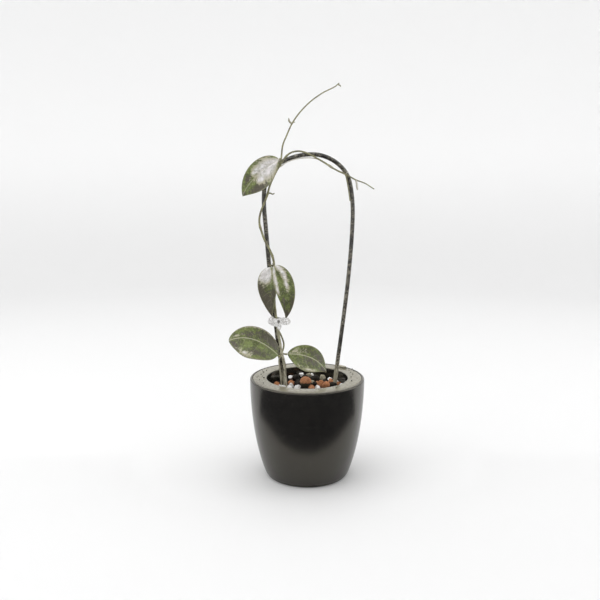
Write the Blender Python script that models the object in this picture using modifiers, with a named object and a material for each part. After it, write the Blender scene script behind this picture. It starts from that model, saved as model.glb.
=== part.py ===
"""A potted hoya: a turned gloss pot with a drop-in liner full of mixed gravel, a bent wire hoop
that stands in the gravel, and a twining vine with five thick leaves, held to the hoop by a clip.

The pot's underside is centred on the origin, +Z is up and -Y is the front. Lengths are written
in millimetres and become metres as each mesh is made.
"""

import math

import bmesh
import bpy
from mathutils import Matrix, Vector

MM = 0.001
GAP = 0.3                        # clearance between pieces that touch
TINY = 0.00001                   # merge distance in metres, for welding
TURN_STEPS = 52                  # facets round a turned piece

# Pot shell
POT_HEIGHT = 114.0
POT_RADIUS = 65.0                # widest, just below the rim
WALL = 3.0
FLOOR = 3.2
TAPER = 15.7                     # how much the side draws in, evenly curved
TUCK = 2.7                       # and how much more just above the base
RIM_ROUND = 2.2
BASE_ROUND = 3.0

# Liner: a broad collar that lies in the rim, and the basket below it that holds the gravel
COLLAR_THICK = 2.4
COLLAR_DROP = 0.3                # the collar lies this much below the pot's edge
LIP_WIDTH = 2.7                  # the part of the rim that belongs to the shell
LEDGE_WIDTH = 2.6                # the step in the shell that carries the collar
OPENING_RADIUS = 46.0
OPENING_ROUND = 1.2
LINER_WALL = 1.8
LINER_FLOOR_Z = 30.0
LINER_FLOOR_RADIUS = 36.0        # inside, at the liner's floor
GRIP_ANGLES = (38.0, 54.0)       # the raised lift grip at the collar's back right, in degrees
GRIP_RADII = (56.0, 61.4)
GRIP_RISE = 2.4

# Gravel
BED_EDGE_Z = 96.0
BED_MIDDLE_Z = 100.0
GRAIN_COUNT = 62
GRAIN_SPREAD = 38.6              # radius of the outermost grain's centre
GRAIN_RADIUS = 5.6
GRAIN_VARY = 1.1
GRAIN_SWELL = 1.10               # its corners stand out this much past a ball
GRAIN_FLAT = 0.86
GRAIN_NARROW = 0.92
GRAIN_LEAN = 0.4
GRAIN_RISE = 1.6                 # the grains' middles lie this much above the bed's edge
GRAIN_UNEVEN = 1.2
SCATTER_STEPS = (2.4, 1.7, 3.1, 1.3, 1.1)    # how fast size, height, corners and turn change by number
MOUND = 4.5                      # the gravel stands this much higher along the middle
MOUND_WIDTH = 24.0
GOLDEN_ANGLE = math.radians(137.508)
HOLE_REACH = 14.0                # the stems' holes are cut this far past the bed's top
BALL_RADIUS = 6.9
BALL_SQUASH = 0.94
BALL_CENTRE = (-1.6, -6.0, 109.4)

# Hoop: a bent tube in an upright plane through the pot's axis, its left leg nearer the front
HOOP_RADIUS = 2.4
HOOP_TURN = math.radians(20.8)
HOOP_STEP = 8.0
HOOP_ROUTE = (                   # along the plane from the axis, height
    (-18.6, 60.0), (-22.5, 84.0), (-26.4, 106.5), (-29.9, 127.0), (-33.7, 147.0), (-36.8, 172.0),
    (-40.6, 199.0), (-44.4, 241.0), (-47.9, 282.0), (-50.0, 312.0), (-48.4, 331.0), (-41.8, 346.0),
    (-30.8, 353.6), (-14.0, 360.0), (-2.3, 362.2), (9.4, 362.6), (21.2, 360.3), (33.2, 354.8),
    (43.0, 346.7), (49.0, 337.5), (52.6, 324.0), (54.7, 304.0), (54.0, 273.0), (50.4, 227.0),
    (47.2, 199.0), (44.0, 174.0), (41.2, 153.0), (38.8, 136.0), (36.8, 121.0), (35.0, 106.0),
    (32.8, 84.0), (30.4, 60.0),
)

# Vine: places in the hoop's plane as (along, out to the front, height)
VINE_STEP = 5.5
VINE_RADIUS = 1.6
VINE_END_RADIUS = 0.78
FOOT = (-27.4, 5.8, 96.0)
LOW_NODE = (-32.3, 4.6, 145.1)
MIDDLE_NODE = (-40.7, 4.5, 242.3)
TOP_NODE = (-33.0, 4.7, 350.8)
STUB_JOINT = (-46.8, 3.9, 321.2)
SHOULDER = (43.4, 4.0, 342.0)    # where the vine crosses the hoop's right shoulder
VINE_TIP = (49.3, 3.5, 339.0)
VINE_ROUTE = (
    (-27.2, 6.4, 78.0), FOOT, (-28.1, 5.3, 106.1), (-28.0, 5.0, 113.0), (-28.3, 4.7, 121.1),
    (-28.9, 4.5, 130.3), (-29.9, 4.4, 137.2), LOW_NODE, (-33.1, 4.2, 151.2), (-33.9, 4.2, 157.0),
    (-35.0, 4.3, 162.7), (-36.1, 4.3, 168.5), (-37.0, 4.3, 174.2), (-37.6, 4.5, 179.9),
    (-38.7, 4.4, 187.8), (-39.7, 4.2, 195.6), (-40.2, 4.1, 204.6), (-40.5, 3.8, 215.6),
    (-40.5, 3.2, 226.5), (-40.4, 3.4, 235.9), MIDDLE_NODE, (-40.5, 4.3, 246.0),
    (-41.2, 4.0, 250.3), (-42.6, 3.9, 255.1), (-44.6, 3.9, 259.7), (-46.9, 4.0, 264.2),
    (-49.5, 3.9, 268.9), (-51.5, 3.6, 273.2), (-52.9, 2.5, 278.0), (-54.1, 1.5, 282.8),
    (-55.2, 1.0, 287.0), (-55.6, 0.8, 291.8), (-55.2, 1.0, 296.6), (-54.3, 1.6, 300.9),
    (-53.2, 3.0, 305.0), (-51.6, 3.9, 309.3), (-49.8, 4.0, 313.5), (-48.2, 4.0, 317.2),
    STUB_JOINT, (-45.7, 4.0, 325.6), (-44.2, 4.3, 330.4), (-41.5, 4.4, 336.1),
    (-38.6, 4.5, 341.9), (-35.6, 4.6, 347.0), TOP_NODE, (-30.2, 4.0, 354.6), (-26.5, 3.1, 359.1),
    (-21.1, 1.4, 363.2), (-15.2, 0.8, 365.3), (-9.8, 1.8, 365.7), (-4.8, 3.6, 364.6),
    (0.9, 3.8, 362.6), (6.9, 3.4, 359.8), (13.6, 2.6, 356.7), (20.3, 2.4, 353.3),
    (26.8, 2.8, 349.2), (32.9, 3.2, 346.0), (38.3, 4.0, 343.7), SHOULDER, VINE_TIP,
)
FOOT_SHOOT = ((-29.4, 1.8, 84.0), (-30.8, 1.2, 98.0), (-31.3, 1.0, 105.3), (-31.7, 1.0, 112.3),
              (-32.4, 1.1, 120.5), (-33.6, 1.9, 128.9), (-34.7, 2.5, 136.7), LOW_NODE)
FOOT_SHOOT_RADIUS = 0.9
SIDE_SHOOT = (LOW_NODE, (-30.1, 3.8, 149.7), (-29.3, 3.6, 154.2), (-30.1, 3.7, 158.8),
              (-31.8, 3.9, 163.5), (-34.0, 4.2, 168.3), (-36.4, 4.4, 172.8))
SIDE_SHOOT_RADIUS = 0.95
RIGHT_RUNNER = (VINE_TIP, (53.1, 3.2, 337.0), (56.9, 3.0, 335.3), (63.8, 2.8, 333.2),
                (69.4, 2.8, 331.1), (74.4, 3.0, 328.2), (79.6, 3.2, 325.1))
LEG_RUNNER = (SHOULDER, (45.1, 3.6, 336.9), (46.8, 2.8, 330.9), (48.3, 2.2, 324.3),
              (49.5, 2.0, 317.7), (50.2, 2.2, 312.1))
TOP_RUNNER = (TOP_NODE, (-31.8, 4.8, 358.1), (-29.9, 4.4, 371.5), (-25.6, 3.8, 381.0),
              (-19.0, 3.0, 394.0), (-10.3, 2.6, 405.6), (1.5, 2.2, 417.0), (15.9, 2.0, 427.0),
              (30.9, 2.4, 434.6), (35.6, 3.0, 438.6))
CURLED_STUB = (STUB_JOINT, (-44.1, 5.2, 321.2), (-42.0, 5.4, 320.2), (-39.8, 5.6, 321.2))
AIR_ROOT = ((56.9, 3.0, 335.3), (57.7, 3.2, 330.9), (58.1, 3.2, 327.6), (58.9, 3.2, 324.0))
SCALE_LEAF = ((-19.0, 3.0, 394.0), (-21.4, 3.4, 397.0), (-22.8, 3.6, 400.2))
SCALE_LEAF_RADIUS = 1.1
RUNNER_RADIUS = 0.9
RUNNER_END_RADIUS = 0.6
THREAD_RADIUS = 0.6
FINE_STEP = 2.5                  # spacing of the sections where a shoot bends tightly
NODES = ((LOW_NODE, 2.3), (MIDDLE_NODE, 1.7), (TOP_NODE, 1.7))
PETIOLE_RADIUS = 1.3
PETIOLE_LEAD = 2.0               # the petiole runs straight on to the blade for this much
PETIOLE_GAP = 0.7                # what is left between the petiole's centre line and the blade

# Leaves, in the pot's own frame (x, y, z)
LEAF_THICK = 2.2
LEAF_EDGE = 0.45                 # share of the thickness that is left at the edge
LEAF_STATIONS = 15
LEAF_STRIPS = 6
LEAF_LEAST_HALF = 1.1            # half width at the blade's two ends

# Clip
CLIP_HEIGHT = 9.0
CLIP_WALL = 1.3
CLIP_HOOP_PLACE = (-38.0, 0.0, 181.0)
CLIP_VINE_PLACE = (-37.0, 4.6, 181.0)
CLIP_WINGS = (                   # name, centre, width, height, thickness, tilt in the hoop's plane
    ("left wing", (-43.8, 3.2, 183.0), 7.5, 9.0, 1.6, 0.3),
    ("right wing", (-28.4, 4.2, 180.6), 14.0, 7.5, 1.8, 0.15),
    ("low wing", (-36.6, 9.2, 177.0), 5.0, 8.0, 1.6, 0.0),
)

COLOURS = {
    "pot_shell": ((0.012, 0.012, 0.013), 0.12),
    "pot_liner": ((0.030, 0.028, 0.024), 0.25),
    "gravel_bed": ((0.220, 0.120, 0.070), 0.90),
    "clay_ball": ((0.350, 0.130, 0.050), 0.85),
    "support_hoop": ((0.015, 0.015, 0.015), 0.30),
    "vine_stem": ((0.260, 0.240, 0.130), 0.60),
    "plant_clip": ((0.750, 0.760, 0.760), 0.20),
    "leaf": ((0.150, 0.190, 0.070), 0.35),
}


def clear_scene():
    """Removes every object of the open scene."""
    for item in list(bpy.data.objects):
        bpy.data.objects.remove(item, do_unlink=True)


def add_collection(name):
    """Makes a collection in the scene."""
    collection = bpy.data.collections.new(name)
    bpy.context.scene.collection.children.link(collection)
    return collection


def add_material(name, colour, roughness):
    """Makes a Principled material with a plain colour."""
    material = bpy.data.materials.new(name)
    material.use_nodes = True
    shader = material.node_tree.nodes["Principled BSDF"]
    shader.inputs["Base Color"].default_value = (*colour, 1.0)
    shader.inputs["Roughness"].default_value = roughness
    shader.inputs["Metallic"].default_value = 0.0
    return material


def add_object(name, data, collection, finish=None):
    """Puts mesh or curve data into a collection as a named object, with the finish's material."""
    item = bpy.data.objects.new(name, data)
    collection.objects.link(item)
    if finish:
        colour, roughness = COLOURS[finish]
        data.materials.append(add_material(name, colour, roughness))
    return item


def mesh_from(fill):
    """Makes a mesh with the bmesh calls of the function fill."""
    work = bmesh.new()
    fill(work)
    mesh = bpy.data.meshes.new("mesh")
    work.to_mesh(mesh)
    work.free()
    return mesh


def smooth_shade(item, angle=40.0):
    """Shades an object's mesh smooth, with edges sharper than the angle kept."""
    item.data.shade_smooth()
    item.data.set_sharp_from_angle(angle=math.radians(angle))


def as_cutter(item):
    """Marks an object as a cutter: it isn't rendered and shows as wire."""
    item.hide_render = True
    item.display_type = "WIRE"
    return item


def cut(item, cutter):
    """Cuts an object with a Boolean modifier."""
    modifier = item.modifiers.new("cut " + cutter.name, "BOOLEAN")
    modifier.operation = "DIFFERENCE"
    modifier.solver = "EXACT"
    modifier.object = cutter


def evaluated_mesh(item):
    """Returns an object's mesh with its modifiers applied and its loose caps welded."""
    graph = bpy.context.evaluated_depsgraph_get()
    mesh = bpy.data.meshes.new_from_object(item.evaluated_get(graph))
    work = bmesh.new()
    work.from_mesh(mesh)
    bmesh.ops.remove_doubles(work, verts=work.verts, dist=TINY)
    work.to_mesh(mesh)
    work.free()
    return mesh


def keep_largest_body(item):
    """Drops loose scraps and fills sealed hollows: only the body with the most vertices stays."""
    work = bmesh.new()
    work.from_mesh(item.data)
    left = set(work.verts)
    bodies = []
    while left:
        body = {left.pop()}
        front = list(body)
        while front:
            vert = front.pop()
            for edge in vert.link_edges:
                other = edge.other_vert(vert)
                if other not in body:
                    body.add(other)
                    front.append(other)
        left -= body
        bodies.append(body)
    largest = max(bodies, key=len)
    scraps = [vert for body in bodies if body is not largest for vert in body]
    bmesh.ops.delete(work, geom=scraps, context="VERTS")
    work.to_mesh(item.data)
    work.free()


def unite(core, pieces):
    """Joins objects to a core by one Boolean union on a collection, and removes them."""
    group = add_collection(core.name + " pieces")
    for piece in pieces:
        for owner in list(piece.users_collection):
            owner.objects.unlink(piece)
        group.objects.link(piece)
    modifier = core.modifiers.new("union", "BOOLEAN")
    modifier.operation = "UNION"
    modifier.operand_type = "COLLECTION"
    modifier.collection = group
    modifier.solver = "EXACT"
    bpy.context.view_layer.update()
    mesh = evaluated_mesh(core)
    core.modifiers.remove(modifier)
    mesh.materials.clear()
    for slot in core.data.materials:
        mesh.materials.append(slot)
    core.data = mesh
    for polygon in mesh.polygons:
        polygon.material_index = 0
    for piece in pieces:
        bpy.data.objects.remove(piece, do_unlink=True)
    bpy.data.collections.remove(group)


def turned(name, profile, collection, finish=None):
    """Turns a profile of (radius, height) points, axis to axis, into a closed solid."""

    def fill(work):
        points = [work.verts.new((radius * MM, 0.0, height * MM)) for radius, height in profile]
        for first, second in zip(points, points[1:]):
            work.edges.new((first, second))

    item = add_object(name, mesh_from(fill), collection, finish)
    screw = item.modifiers.new("turn", "SCREW")
    screw.axis = "Z"
    screw.angle = math.tau
    screw.steps = TURN_STEPS
    screw.render_steps = TURN_STEPS
    screw.use_merge_vertices = True
    screw.merge_threshold = TINY
    screw.use_smooth_shade = True
    return item


def arc(centre, radius, start, end, count):
    """Points of an arc in the profile plane, angles in degrees from +radius toward +height."""
    points = []
    for index in range(count + 1):
        angle = math.radians(start + (end - start) * index / count)
        points.append((centre[0] + radius * math.cos(angle), centre[1] + radius * math.sin(angle)))
    return points


def smooth_route(points, spacing):
    """Samples a smooth curve through the points about every spacing, both ends kept."""
    points = [Vector(point) for point in points]
    padded = [2.0 * points[0] - points[1], *points, 2.0 * points[-1] - points[-2]]
    samples = []
    for index in range(1, len(padded) - 2):
        before, start, end, after = padded[index - 1:index + 3]
        count = max(1, round((end - start).length / spacing))
        for step in range(count):
            samples.append(rounded_step(before, start, end, after, step / count))
    samples.append(points[-1])
    return samples


def rounded_step(before, start, end, after, share):
    """A point of the centripetal Catmull-Rom curve between start and end."""
    places = (before, start, end, after)
    knots = [0.0]
    for first, second in zip(places, places[1:]):
        knots.append(knots[-1] + math.sqrt((second - first).length))
    here = knots[1] + (knots[2] - knots[1]) * share
    level = places
    for width in (1, 2):
        level = [first.lerp(second, (here - knots[index]) / (knots[index + width] - knots[index]))
                 for index, (first, second) in enumerate(zip(level, level[1:]))]
    return level[0].lerp(level[1], share)


def tube(name, route, collection, radius, end_radius=None, finish=None):
    """Makes a capped tube along a route of millimetre points, as a mesh with its place in it."""
    end_radius = radius if end_radius is None else end_radius
    curve = bpy.data.curves.new(name, "CURVE")
    curve.dimensions = "3D"
    curve.bevel_depth = radius * MM
    curve.bevel_resolution = 2
    curve.use_fill_caps = True
    spline = curve.splines.new("POLY")
    spline.points.add(len(route) - 1)
    for index, (point, place) in enumerate(zip(spline.points, route)):
        share = index / (len(route) - 1)
        point.co = (*(Vector(place) * MM), 1.0)
        point.radius = 1.0 + (end_radius / radius - 1.0) * share
    guide = add_object(name + " guide", curve, collection)
    bpy.context.view_layer.update()
    item = add_object(name, evaluated_mesh(guide), collection, finish)
    item.matrix_world = guide.matrix_world
    bpy.data.objects.remove(guide, do_unlink=True)
    return item


def flat_piece(name, outlines, thickness, collection, place, finish=None):
    """Fills closed outlines of (x, y), thickens them about their plane and moves them to a place."""
    curve = bpy.data.curves.new(name, "CURVE")
    curve.dimensions = "2D"
    curve.fill_mode = "BOTH"
    curve.extrude = 0.5 * thickness * MM
    for outline in outlines:
        spline = curve.splines.new("POLY")
        spline.points.add(len(outline) - 1)
        for point, (x, y) in zip(spline.points, outline):
            point.co = (x * MM, y * MM, 0.0, 1.0)
        spline.use_cyclic_u = True
    guide = add_object(name + " guide", curve, collection)
    bpy.context.view_layer.update()
    item = add_object(name, evaluated_mesh(guide), collection, finish)
    item.data.transform(place)
    bpy.data.objects.remove(guide, do_unlink=True)
    return item


def on_hoop(place):
    """Turns a place in the hoop's plane (along, out to the front, height) into (x, y, z)."""
    along, out, height = place
    return Vector((
        along * math.cos(HOOP_TURN) + out * math.sin(HOOP_TURN),
        along * math.sin(HOOP_TURN) - out * math.cos(HOOP_TURN),
        height,
    ))


def pot_side(height):
    """The pot's outer radius at a height: an even taper that tucks in above the base."""
    top = POT_HEIGHT - RIM_ROUND
    drop = max(0.0, (top - height) / top)
    return POT_RADIUS - TAPER * drop ** 2 - TUCK * drop ** 6


def liner_inside(height):
    """The liner's inner radius at a height, from its floor to the opening."""
    low = LINER_FLOOR_Z + LINER_WALL
    high = POT_HEIGHT - COLLAR_DROP - OPENING_ROUND
    share = (height - low) / (high - low)
    return LINER_FLOOR_RADIUS + (OPENING_RADIUS - LINER_FLOOR_RADIUS) * share


def make_pot_shell(collection):
    """The gloss outer pot: a cup with a flat underside and a ledge in its rim for the collar."""
    seat_radius = POT_RADIUS - LIP_WIDTH
    seat_z = POT_HEIGHT - COLLAR_DROP - COLLAR_THICK - GAP
    base_radius = pot_side(0.0) + 0.4
    profile = [(0.0, FLOOR), (pot_side(FLOOR) - WALL - 2.0, FLOOR)]
    for height in (FLOOR + 3.0, 24.0, 50.0, 80.0, seat_z - 6.0):
        profile.append((pot_side(height) - WALL, height))
    profile.append((seat_radius - LEDGE_WIDTH, seat_z))
    profile.append((seat_radius, seat_z))
    profile.append((seat_radius, POT_HEIGHT - 0.3))
    profile.append((seat_radius + 0.3, POT_HEIGHT))
    profile += arc((POT_RADIUS - RIM_ROUND, POT_HEIGHT - RIM_ROUND), RIM_ROUND, 90.0, 0.0, 3)
    for height in (96.0, 80.0, 64.0, 48.0, 34.0, 22.0, 12.0):
        profile.append((pot_side(height), height))
    profile += arc((base_radius - BASE_ROUND, BASE_ROUND), BASE_ROUND, 0.0, -90.0, 3)
    profile.append((0.0, 0.0))
    return turned("pot_shell", profile, collection, "pot_shell")


def make_pot_liner(collection, cutters):
    """The drop-in liner: a broad flat collar round the opening, with a closed basket below it."""
    top = POT_HEIGHT - COLLAR_DROP
    under = top - COLLAR_THICK
    rim = POT_RADIUS - LIP_WIDTH - GAP
    low = LINER_FLOOR_Z + LINER_WALL
    profile = [(0.0, low), (LINER_FLOOR_RADIUS - 2.0, low), (liner_inside(low + 2.0), low + 2.0)]
    profile += [(liner_inside(height), height) for height in (60.0, 90.0)]
    profile += arc((OPENING_RADIUS + OPENING_ROUND, top - OPENING_ROUND), OPENING_ROUND, 180.0, 90.0, 2)
    profile += [(rim - 0.5, top), (rim, top - 0.5), (rim, under)]
    profile += [(OPENING_RADIUS + LINER_WALL, under)]
    profile += [(liner_inside(90.0) + LINER_WALL, 90.0), (liner_inside(low) + LINER_WALL, low)]
    profile += [(LINER_FLOOR_RADIUS - 2.0, LINER_FLOOR_Z), (0.0, LINER_FLOOR_Z)]
    liner = turned("pot_liner", profile, collection, "pot_liner")
    liner.data = evaluated_mesh(liner)
    liner.modifiers.clear()
    unite(liner, [make_lift_grip(cutters, top)])
    smooth_shade(liner)
    return liner


def make_lift_grip(collection, top):
    """The low grip that stands on the collar's back right: a curved bar with rounded ends."""
    first, last = GRIP_ANGLES
    inner, outer = GRIP_RADII
    middle = 0.5 * (inner + outer)
    spread = math.degrees(0.5 * (outer - inner) / middle)
    outline = []
    for radius, angles in ((outer, (first, 0.5 * (first + last), last)), (middle, (last + spread,)),
                           (inner, (last, 0.5 * (first + last), first)), (middle, (first - spread,))):
        for angle in angles:
            turn = math.radians(angle)
            outline.append((radius * math.cos(turn), radius * math.sin(turn)))
    sunk = 0.5 * COLLAR_THICK
    lift = Matrix.Translation((0.0, 0.0, (top + 0.5 * (GRIP_RISE - sunk)) * MM))
    return flat_piece("lift grip", [outline], GRIP_RISE + sunk, collection, lift)


def grain_place(index):
    """Place and radius of one grain: a sunflower spiral that is heaped along the middle."""
    radius = GRAIN_RADIUS + GRAIN_VARY * math.sin(index * SCATTER_STEPS[0])
    turn = index * GOLDEN_ANGLE
    widest = liner_inside(BED_EDGE_Z - radius) - GAP - GRAIN_SWELL * radius
    reach = min(widest, GRAIN_SPREAD * math.sqrt((index + 0.5) / GRAIN_COUNT))
    x, y = reach * math.cos(turn), reach * math.sin(turn)
    mound = MOUND * math.exp(-(x / MOUND_WIDTH) ** 2)
    uneven = GRAIN_UNEVEN * math.sin(index * SCATTER_STEPS[1])
    return Vector((x, y, BED_EDGE_Z + GRAIN_RISE + mound + uneven)), radius


def make_grain(collection, index):
    """One angular grain: a low faceted ball, squashed and turned by its number."""
    centre, radius = grain_place(index)

    def fill(work):
        bmesh.ops.create_icosphere(work, subdivisions=1, radius=radius * MM)
        for number, vert in enumerate(work.verts):
            corner = math.sin(SCATTER_STEPS[2] * number + SCATTER_STEPS[3] * index)
            vert.co *= 1.0 + (GRAIN_SWELL - 1.0) * corner
        squash = Matrix.Diagonal((1.0, GRAIN_NARROW, GRAIN_FLAT, 1.0))
        lean = Matrix.Rotation(GRAIN_LEAN * math.sin(index), 4, "X")
        spin = Matrix.Rotation(SCATTER_STEPS[4] * index, 4, "Z") @ lean
        bmesh.ops.transform(work, matrix=Matrix.Translation(centre * MM) @ spin @ squash, verts=work.verts)

    return add_object("grain %d" % index, mesh_from(fill), collection)


def make_gravel_bed(collection, cutters):
    """The gravel that fills the liner: a turned core whose top is covered with grains."""
    low = LINER_FLOOR_Z + LINER_WALL + GAP
    profile = [(0.0, BED_MIDDLE_Z), (22.0, BED_MIDDLE_Z - 1.0)]
    profile += [(liner_inside(height) - GAP, height) for height in (BED_EDGE_Z, 76.0, 54.0)]
    profile += [(liner_inside(low + 2.0) - GAP, low + 2.0), (LINER_FLOOR_RADIUS - 3.0, low), (0.0, low)]
    bed = turned("gravel_bed", profile, collection, "gravel_bed")
    bed.data = evaluated_mesh(bed)
    bed.modifiers.clear()
    unite(bed, [make_grain(cutters, index) for index in range(GRAIN_COUNT)])
    for cutter in make_bed_cutters(cutters):
        cut(bed, cutter)
    bpy.context.view_layer.update()
    bed.data = evaluated_mesh(bed)
    bed.modifiers.clear()
    keep_largest_body(bed)
    return bed


def make_bed_cutters(collection):
    """The plain holes that the hoop's legs and the vine stand in, and the ball's seat."""
    cutters = []
    for name, ends in (("left leg hole", HOOP_ROUTE[:3]), ("right leg hole", HOOP_ROUTE[:-4:-1])):
        low, _, high = [Vector((along, 0.0, height)) for along, height in ends]
        lean = (high - low).normalized()
        route = [on_hoop(low - lean * GAP), on_hoop(high + lean * HOLE_REACH)]
        cutters.append(tube(name, route, collection, HOOP_RADIUS + 2.0 * GAP))
    for name, ends, radius in (("vine hole", VINE_ROUTE[:2], VINE_RADIUS),
                               ("foot shoot hole", FOOT_SHOOT[:2], FOOT_SHOOT_RADIUS)):
        low, high = [Vector(end) for end in ends]
        lean = (high - low).normalized()
        route = [on_hoop(low - lean * GAP), on_hoop(high + lean * HOLE_REACH)]
        cutters.append(tube(name, route, collection, radius + 2.0 * GAP))

    def fill(work):
        bmesh.ops.create_icosphere(work, subdivisions=2, radius=(BALL_RADIUS + 2.0 * GAP) * MM)
        bmesh.ops.translate(work, verts=work.verts, vec=Vector(BALL_CENTRE) * MM)

    cutters.append(add_object("ball seat", mesh_from(fill), collection))
    return [as_cutter(cutter) for cutter in cutters]


def make_clay_ball(collection):
    """The one round fired clay ball that lies on top of the gravel."""

    def fill(work):
        bmesh.ops.create_icosphere(work, subdivisions=3, radius=BALL_RADIUS * MM)
        bmesh.ops.scale(work, verts=work.verts, vec=(1.0, 1.0, BALL_SQUASH))

    ball = add_object("clay_ball", mesh_from(fill), collection, "clay_ball")
    ball.location = Vector(BALL_CENTRE) * MM
    smooth_shade(ball)
    return ball


def make_support_hoop(collection):
    """The bent tube that stands in the gravel on two legs."""
    route = smooth_route([(along, 0.0, height) for along, height in HOOP_ROUTE], HOOP_STEP)
    hoop = tube("support_hoop", [on_hoop(place) for place in route], collection, HOOP_RADIUS,
                finish="support_hoop")
    smooth_shade(hoop)
    return hoop


def vine_tube(name, route, collection, radius, end_radius=None, finish=None, spacing=VINE_STEP):
    """A tube of the vine along a smooth curve through places in the hoop's plane."""
    places = [on_hoop(place) for place in smooth_route(route, spacing)]
    return tube(name, places, collection, radius, end_radius, finish)


def make_vine_stem(collection, cutters, petioles):
    """The vine, grown as one piece: main stem, shoots, runners, swollen nodes and petioles."""
    stem = vine_tube("vine_stem", VINE_ROUTE, collection, VINE_RADIUS, VINE_END_RADIUS, "vine_stem")
    pieces = [
        vine_tube("foot shoot", FOOT_SHOOT, cutters, FOOT_SHOOT_RADIUS),
        vine_tube("side shoot", SIDE_SHOOT, cutters, SIDE_SHOOT_RADIUS),
        vine_tube("right runner", RIGHT_RUNNER, cutters, VINE_END_RADIUS, RUNNER_END_RADIUS),
        vine_tube("leg runner", LEG_RUNNER, cutters, VINE_END_RADIUS, RUNNER_END_RADIUS),
        vine_tube("top runner", TOP_RUNNER, cutters, RUNNER_RADIUS, RUNNER_END_RADIUS),
        vine_tube("curled stub", CURLED_STUB, cutters, RUNNER_RADIUS, RUNNER_END_RADIUS,
                  spacing=FINE_STEP),
        vine_tube("air root", AIR_ROOT, cutters, THREAD_RADIUS),
        vine_tube("scale leaf", SCALE_LEAF, cutters, SCALE_LEAF_RADIUS, THREAD_RADIUS,
                  spacing=FINE_STEP),
    ]
    for number, (place, radius) in enumerate(NODES):

        def fill(work, centre=on_hoop(place), size=radius):
            bmesh.ops.create_icosphere(work, subdivisions=2, radius=size * MM)
            bmesh.ops.translate(work, verts=work.verts, vec=centre * MM)

        pieces.append(add_object("node %d" % number, mesh_from(fill), cutters))
    for name, route in petioles.items():
        pieces.append(tube(name, smooth_route(route, FINE_STEP), cutters, PETIOLE_RADIUS))
    unite(stem, pieces)
    smooth_shade(stem)
    return stem


class Leaf:
    """A thick blade: a midrib through three places, two half widths and the way that it faces."""

    def __init__(self, name, base, middle, tip, across, halves, ends, arch):
        """Takes the midrib's three places, the direction across the blade, the half width on the
        far and the near side of it, how blunt base and tip are on each side, and its arch."""
        self.name = name
        self.places = [Vector(place) for place in (base, middle, tip)]
        self.across = Vector(across).normalized()
        self.halves = halves
        self.ends = ends
        self.arch = arch

    def midrib(self, share):
        """Place and direction of the midrib, a parabola through its three places."""
        base, middle, tip = self.places
        pull = 2.0 * middle - 0.5 * (base + tip)
        place = (1 - share) ** 2 * base + 2 * share * (1 - share) * pull + share ** 2 * tip
        direction = (1 - share) * (pull - base) + share * (tip - pull)
        return place, direction.normalized()

    def half_width(self, share, side):
        """Half width on one side, blunt or pointed at each end as the leaf's ends say."""
        number = 0 if side < 0 else 1
        blunt, point = self.ends[number]
        peak = blunt / (blunt + point)
        share = min(max(share, 0.0), 1.0)
        full = (share / peak) ** blunt * ((1.0 - share) / (1.0 - peak)) ** point
        return max(LEAF_LEAST_HALF, self.halves[number] * full)

    def surface(self, share, side):
        """A place on the blade: share runs from base to tip, side from -1 to 1 across it."""
        place, direction = self.midrib(share)
        across = (self.across - direction * self.across.dot(direction)).normalized()
        facing = across.cross(direction)
        reach = side * self.half_width(share, side)
        return place + across * reach - facing * self.arch * reach ** 2


LEAVES = (
    Leaf("leaf_top", (-30.0, -20.5, 356.2), (-54.3, -27.0, 338.5), (-68.8, -26.0, 318.0),
         across=(-0.62, 0.25, 0.75), halves=(17.1, 13.1), ends=((0.90, 1.01), (0.50, 0.94)),
         arch=-0.010),
    Leaf("leaf_mid_left", (-40.0, -22.0, 242.3), (-39.6, -23.0, 214.7), (-38.7, -22.0, 188.2),
         across=(-0.82, 0.57, 0.0), halves=(9.8, 15.9), ends=((0.41, 1.30), (0.49, 0.89)),
         arch=-0.012),
    Leaf("leaf_mid_right", (-36.0, -27.5, 244.7), (-26.5, -36.0, 217.6), (-23.5, -33.0, 188.1),
         across=(-0.93, -0.25, -0.15), halves=(13.9, 8.0), ends=((0.48, 0.78), (0.69, 1.30)),
         arch=-0.010),
    Leaf("leaf_low_left", (-32.7, -23.9, 145.1), (-59.6, -28.0, 163.6), (-86.0, -27.0, 161.7),
         across=(0.05, -0.60, -0.80), halves=(15.6, 25.9), ends=((0.42, 0.62), (0.55, 0.64)),
         arch=0.010),
    Leaf("leaf_low_right", (-22.2, -14.3, 143.9), (5.3, -12.5, 138.2), (21.3, -6.0, 119.9),
         across=(0.05, -0.60, -0.80), halves=(13.7, 20.3), ends=((0.62, 0.75), (0.81, 1.15)),
         arch=-0.012),
)


def petiole_end(leaf):
    """The petiole's end, which stops just short of the blade."""
    base, direction = leaf.midrib(0.0)
    return base - direction * PETIOLE_GAP


def petiole_routes():
    """The short stalks from the vine's nodes to the leaves."""
    routes = {}
    for leaf, node in zip(LEAVES, (TOP_NODE, MIDDLE_NODE, MIDDLE_NODE, LOW_NODE, LOW_NODE)):
        end = petiole_end(leaf)
        _, direction = leaf.midrib(0.0)
        routes["petiole " + leaf.name] = [on_hoop(node), end - direction * PETIOLE_LEAD, end]
    return routes


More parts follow.
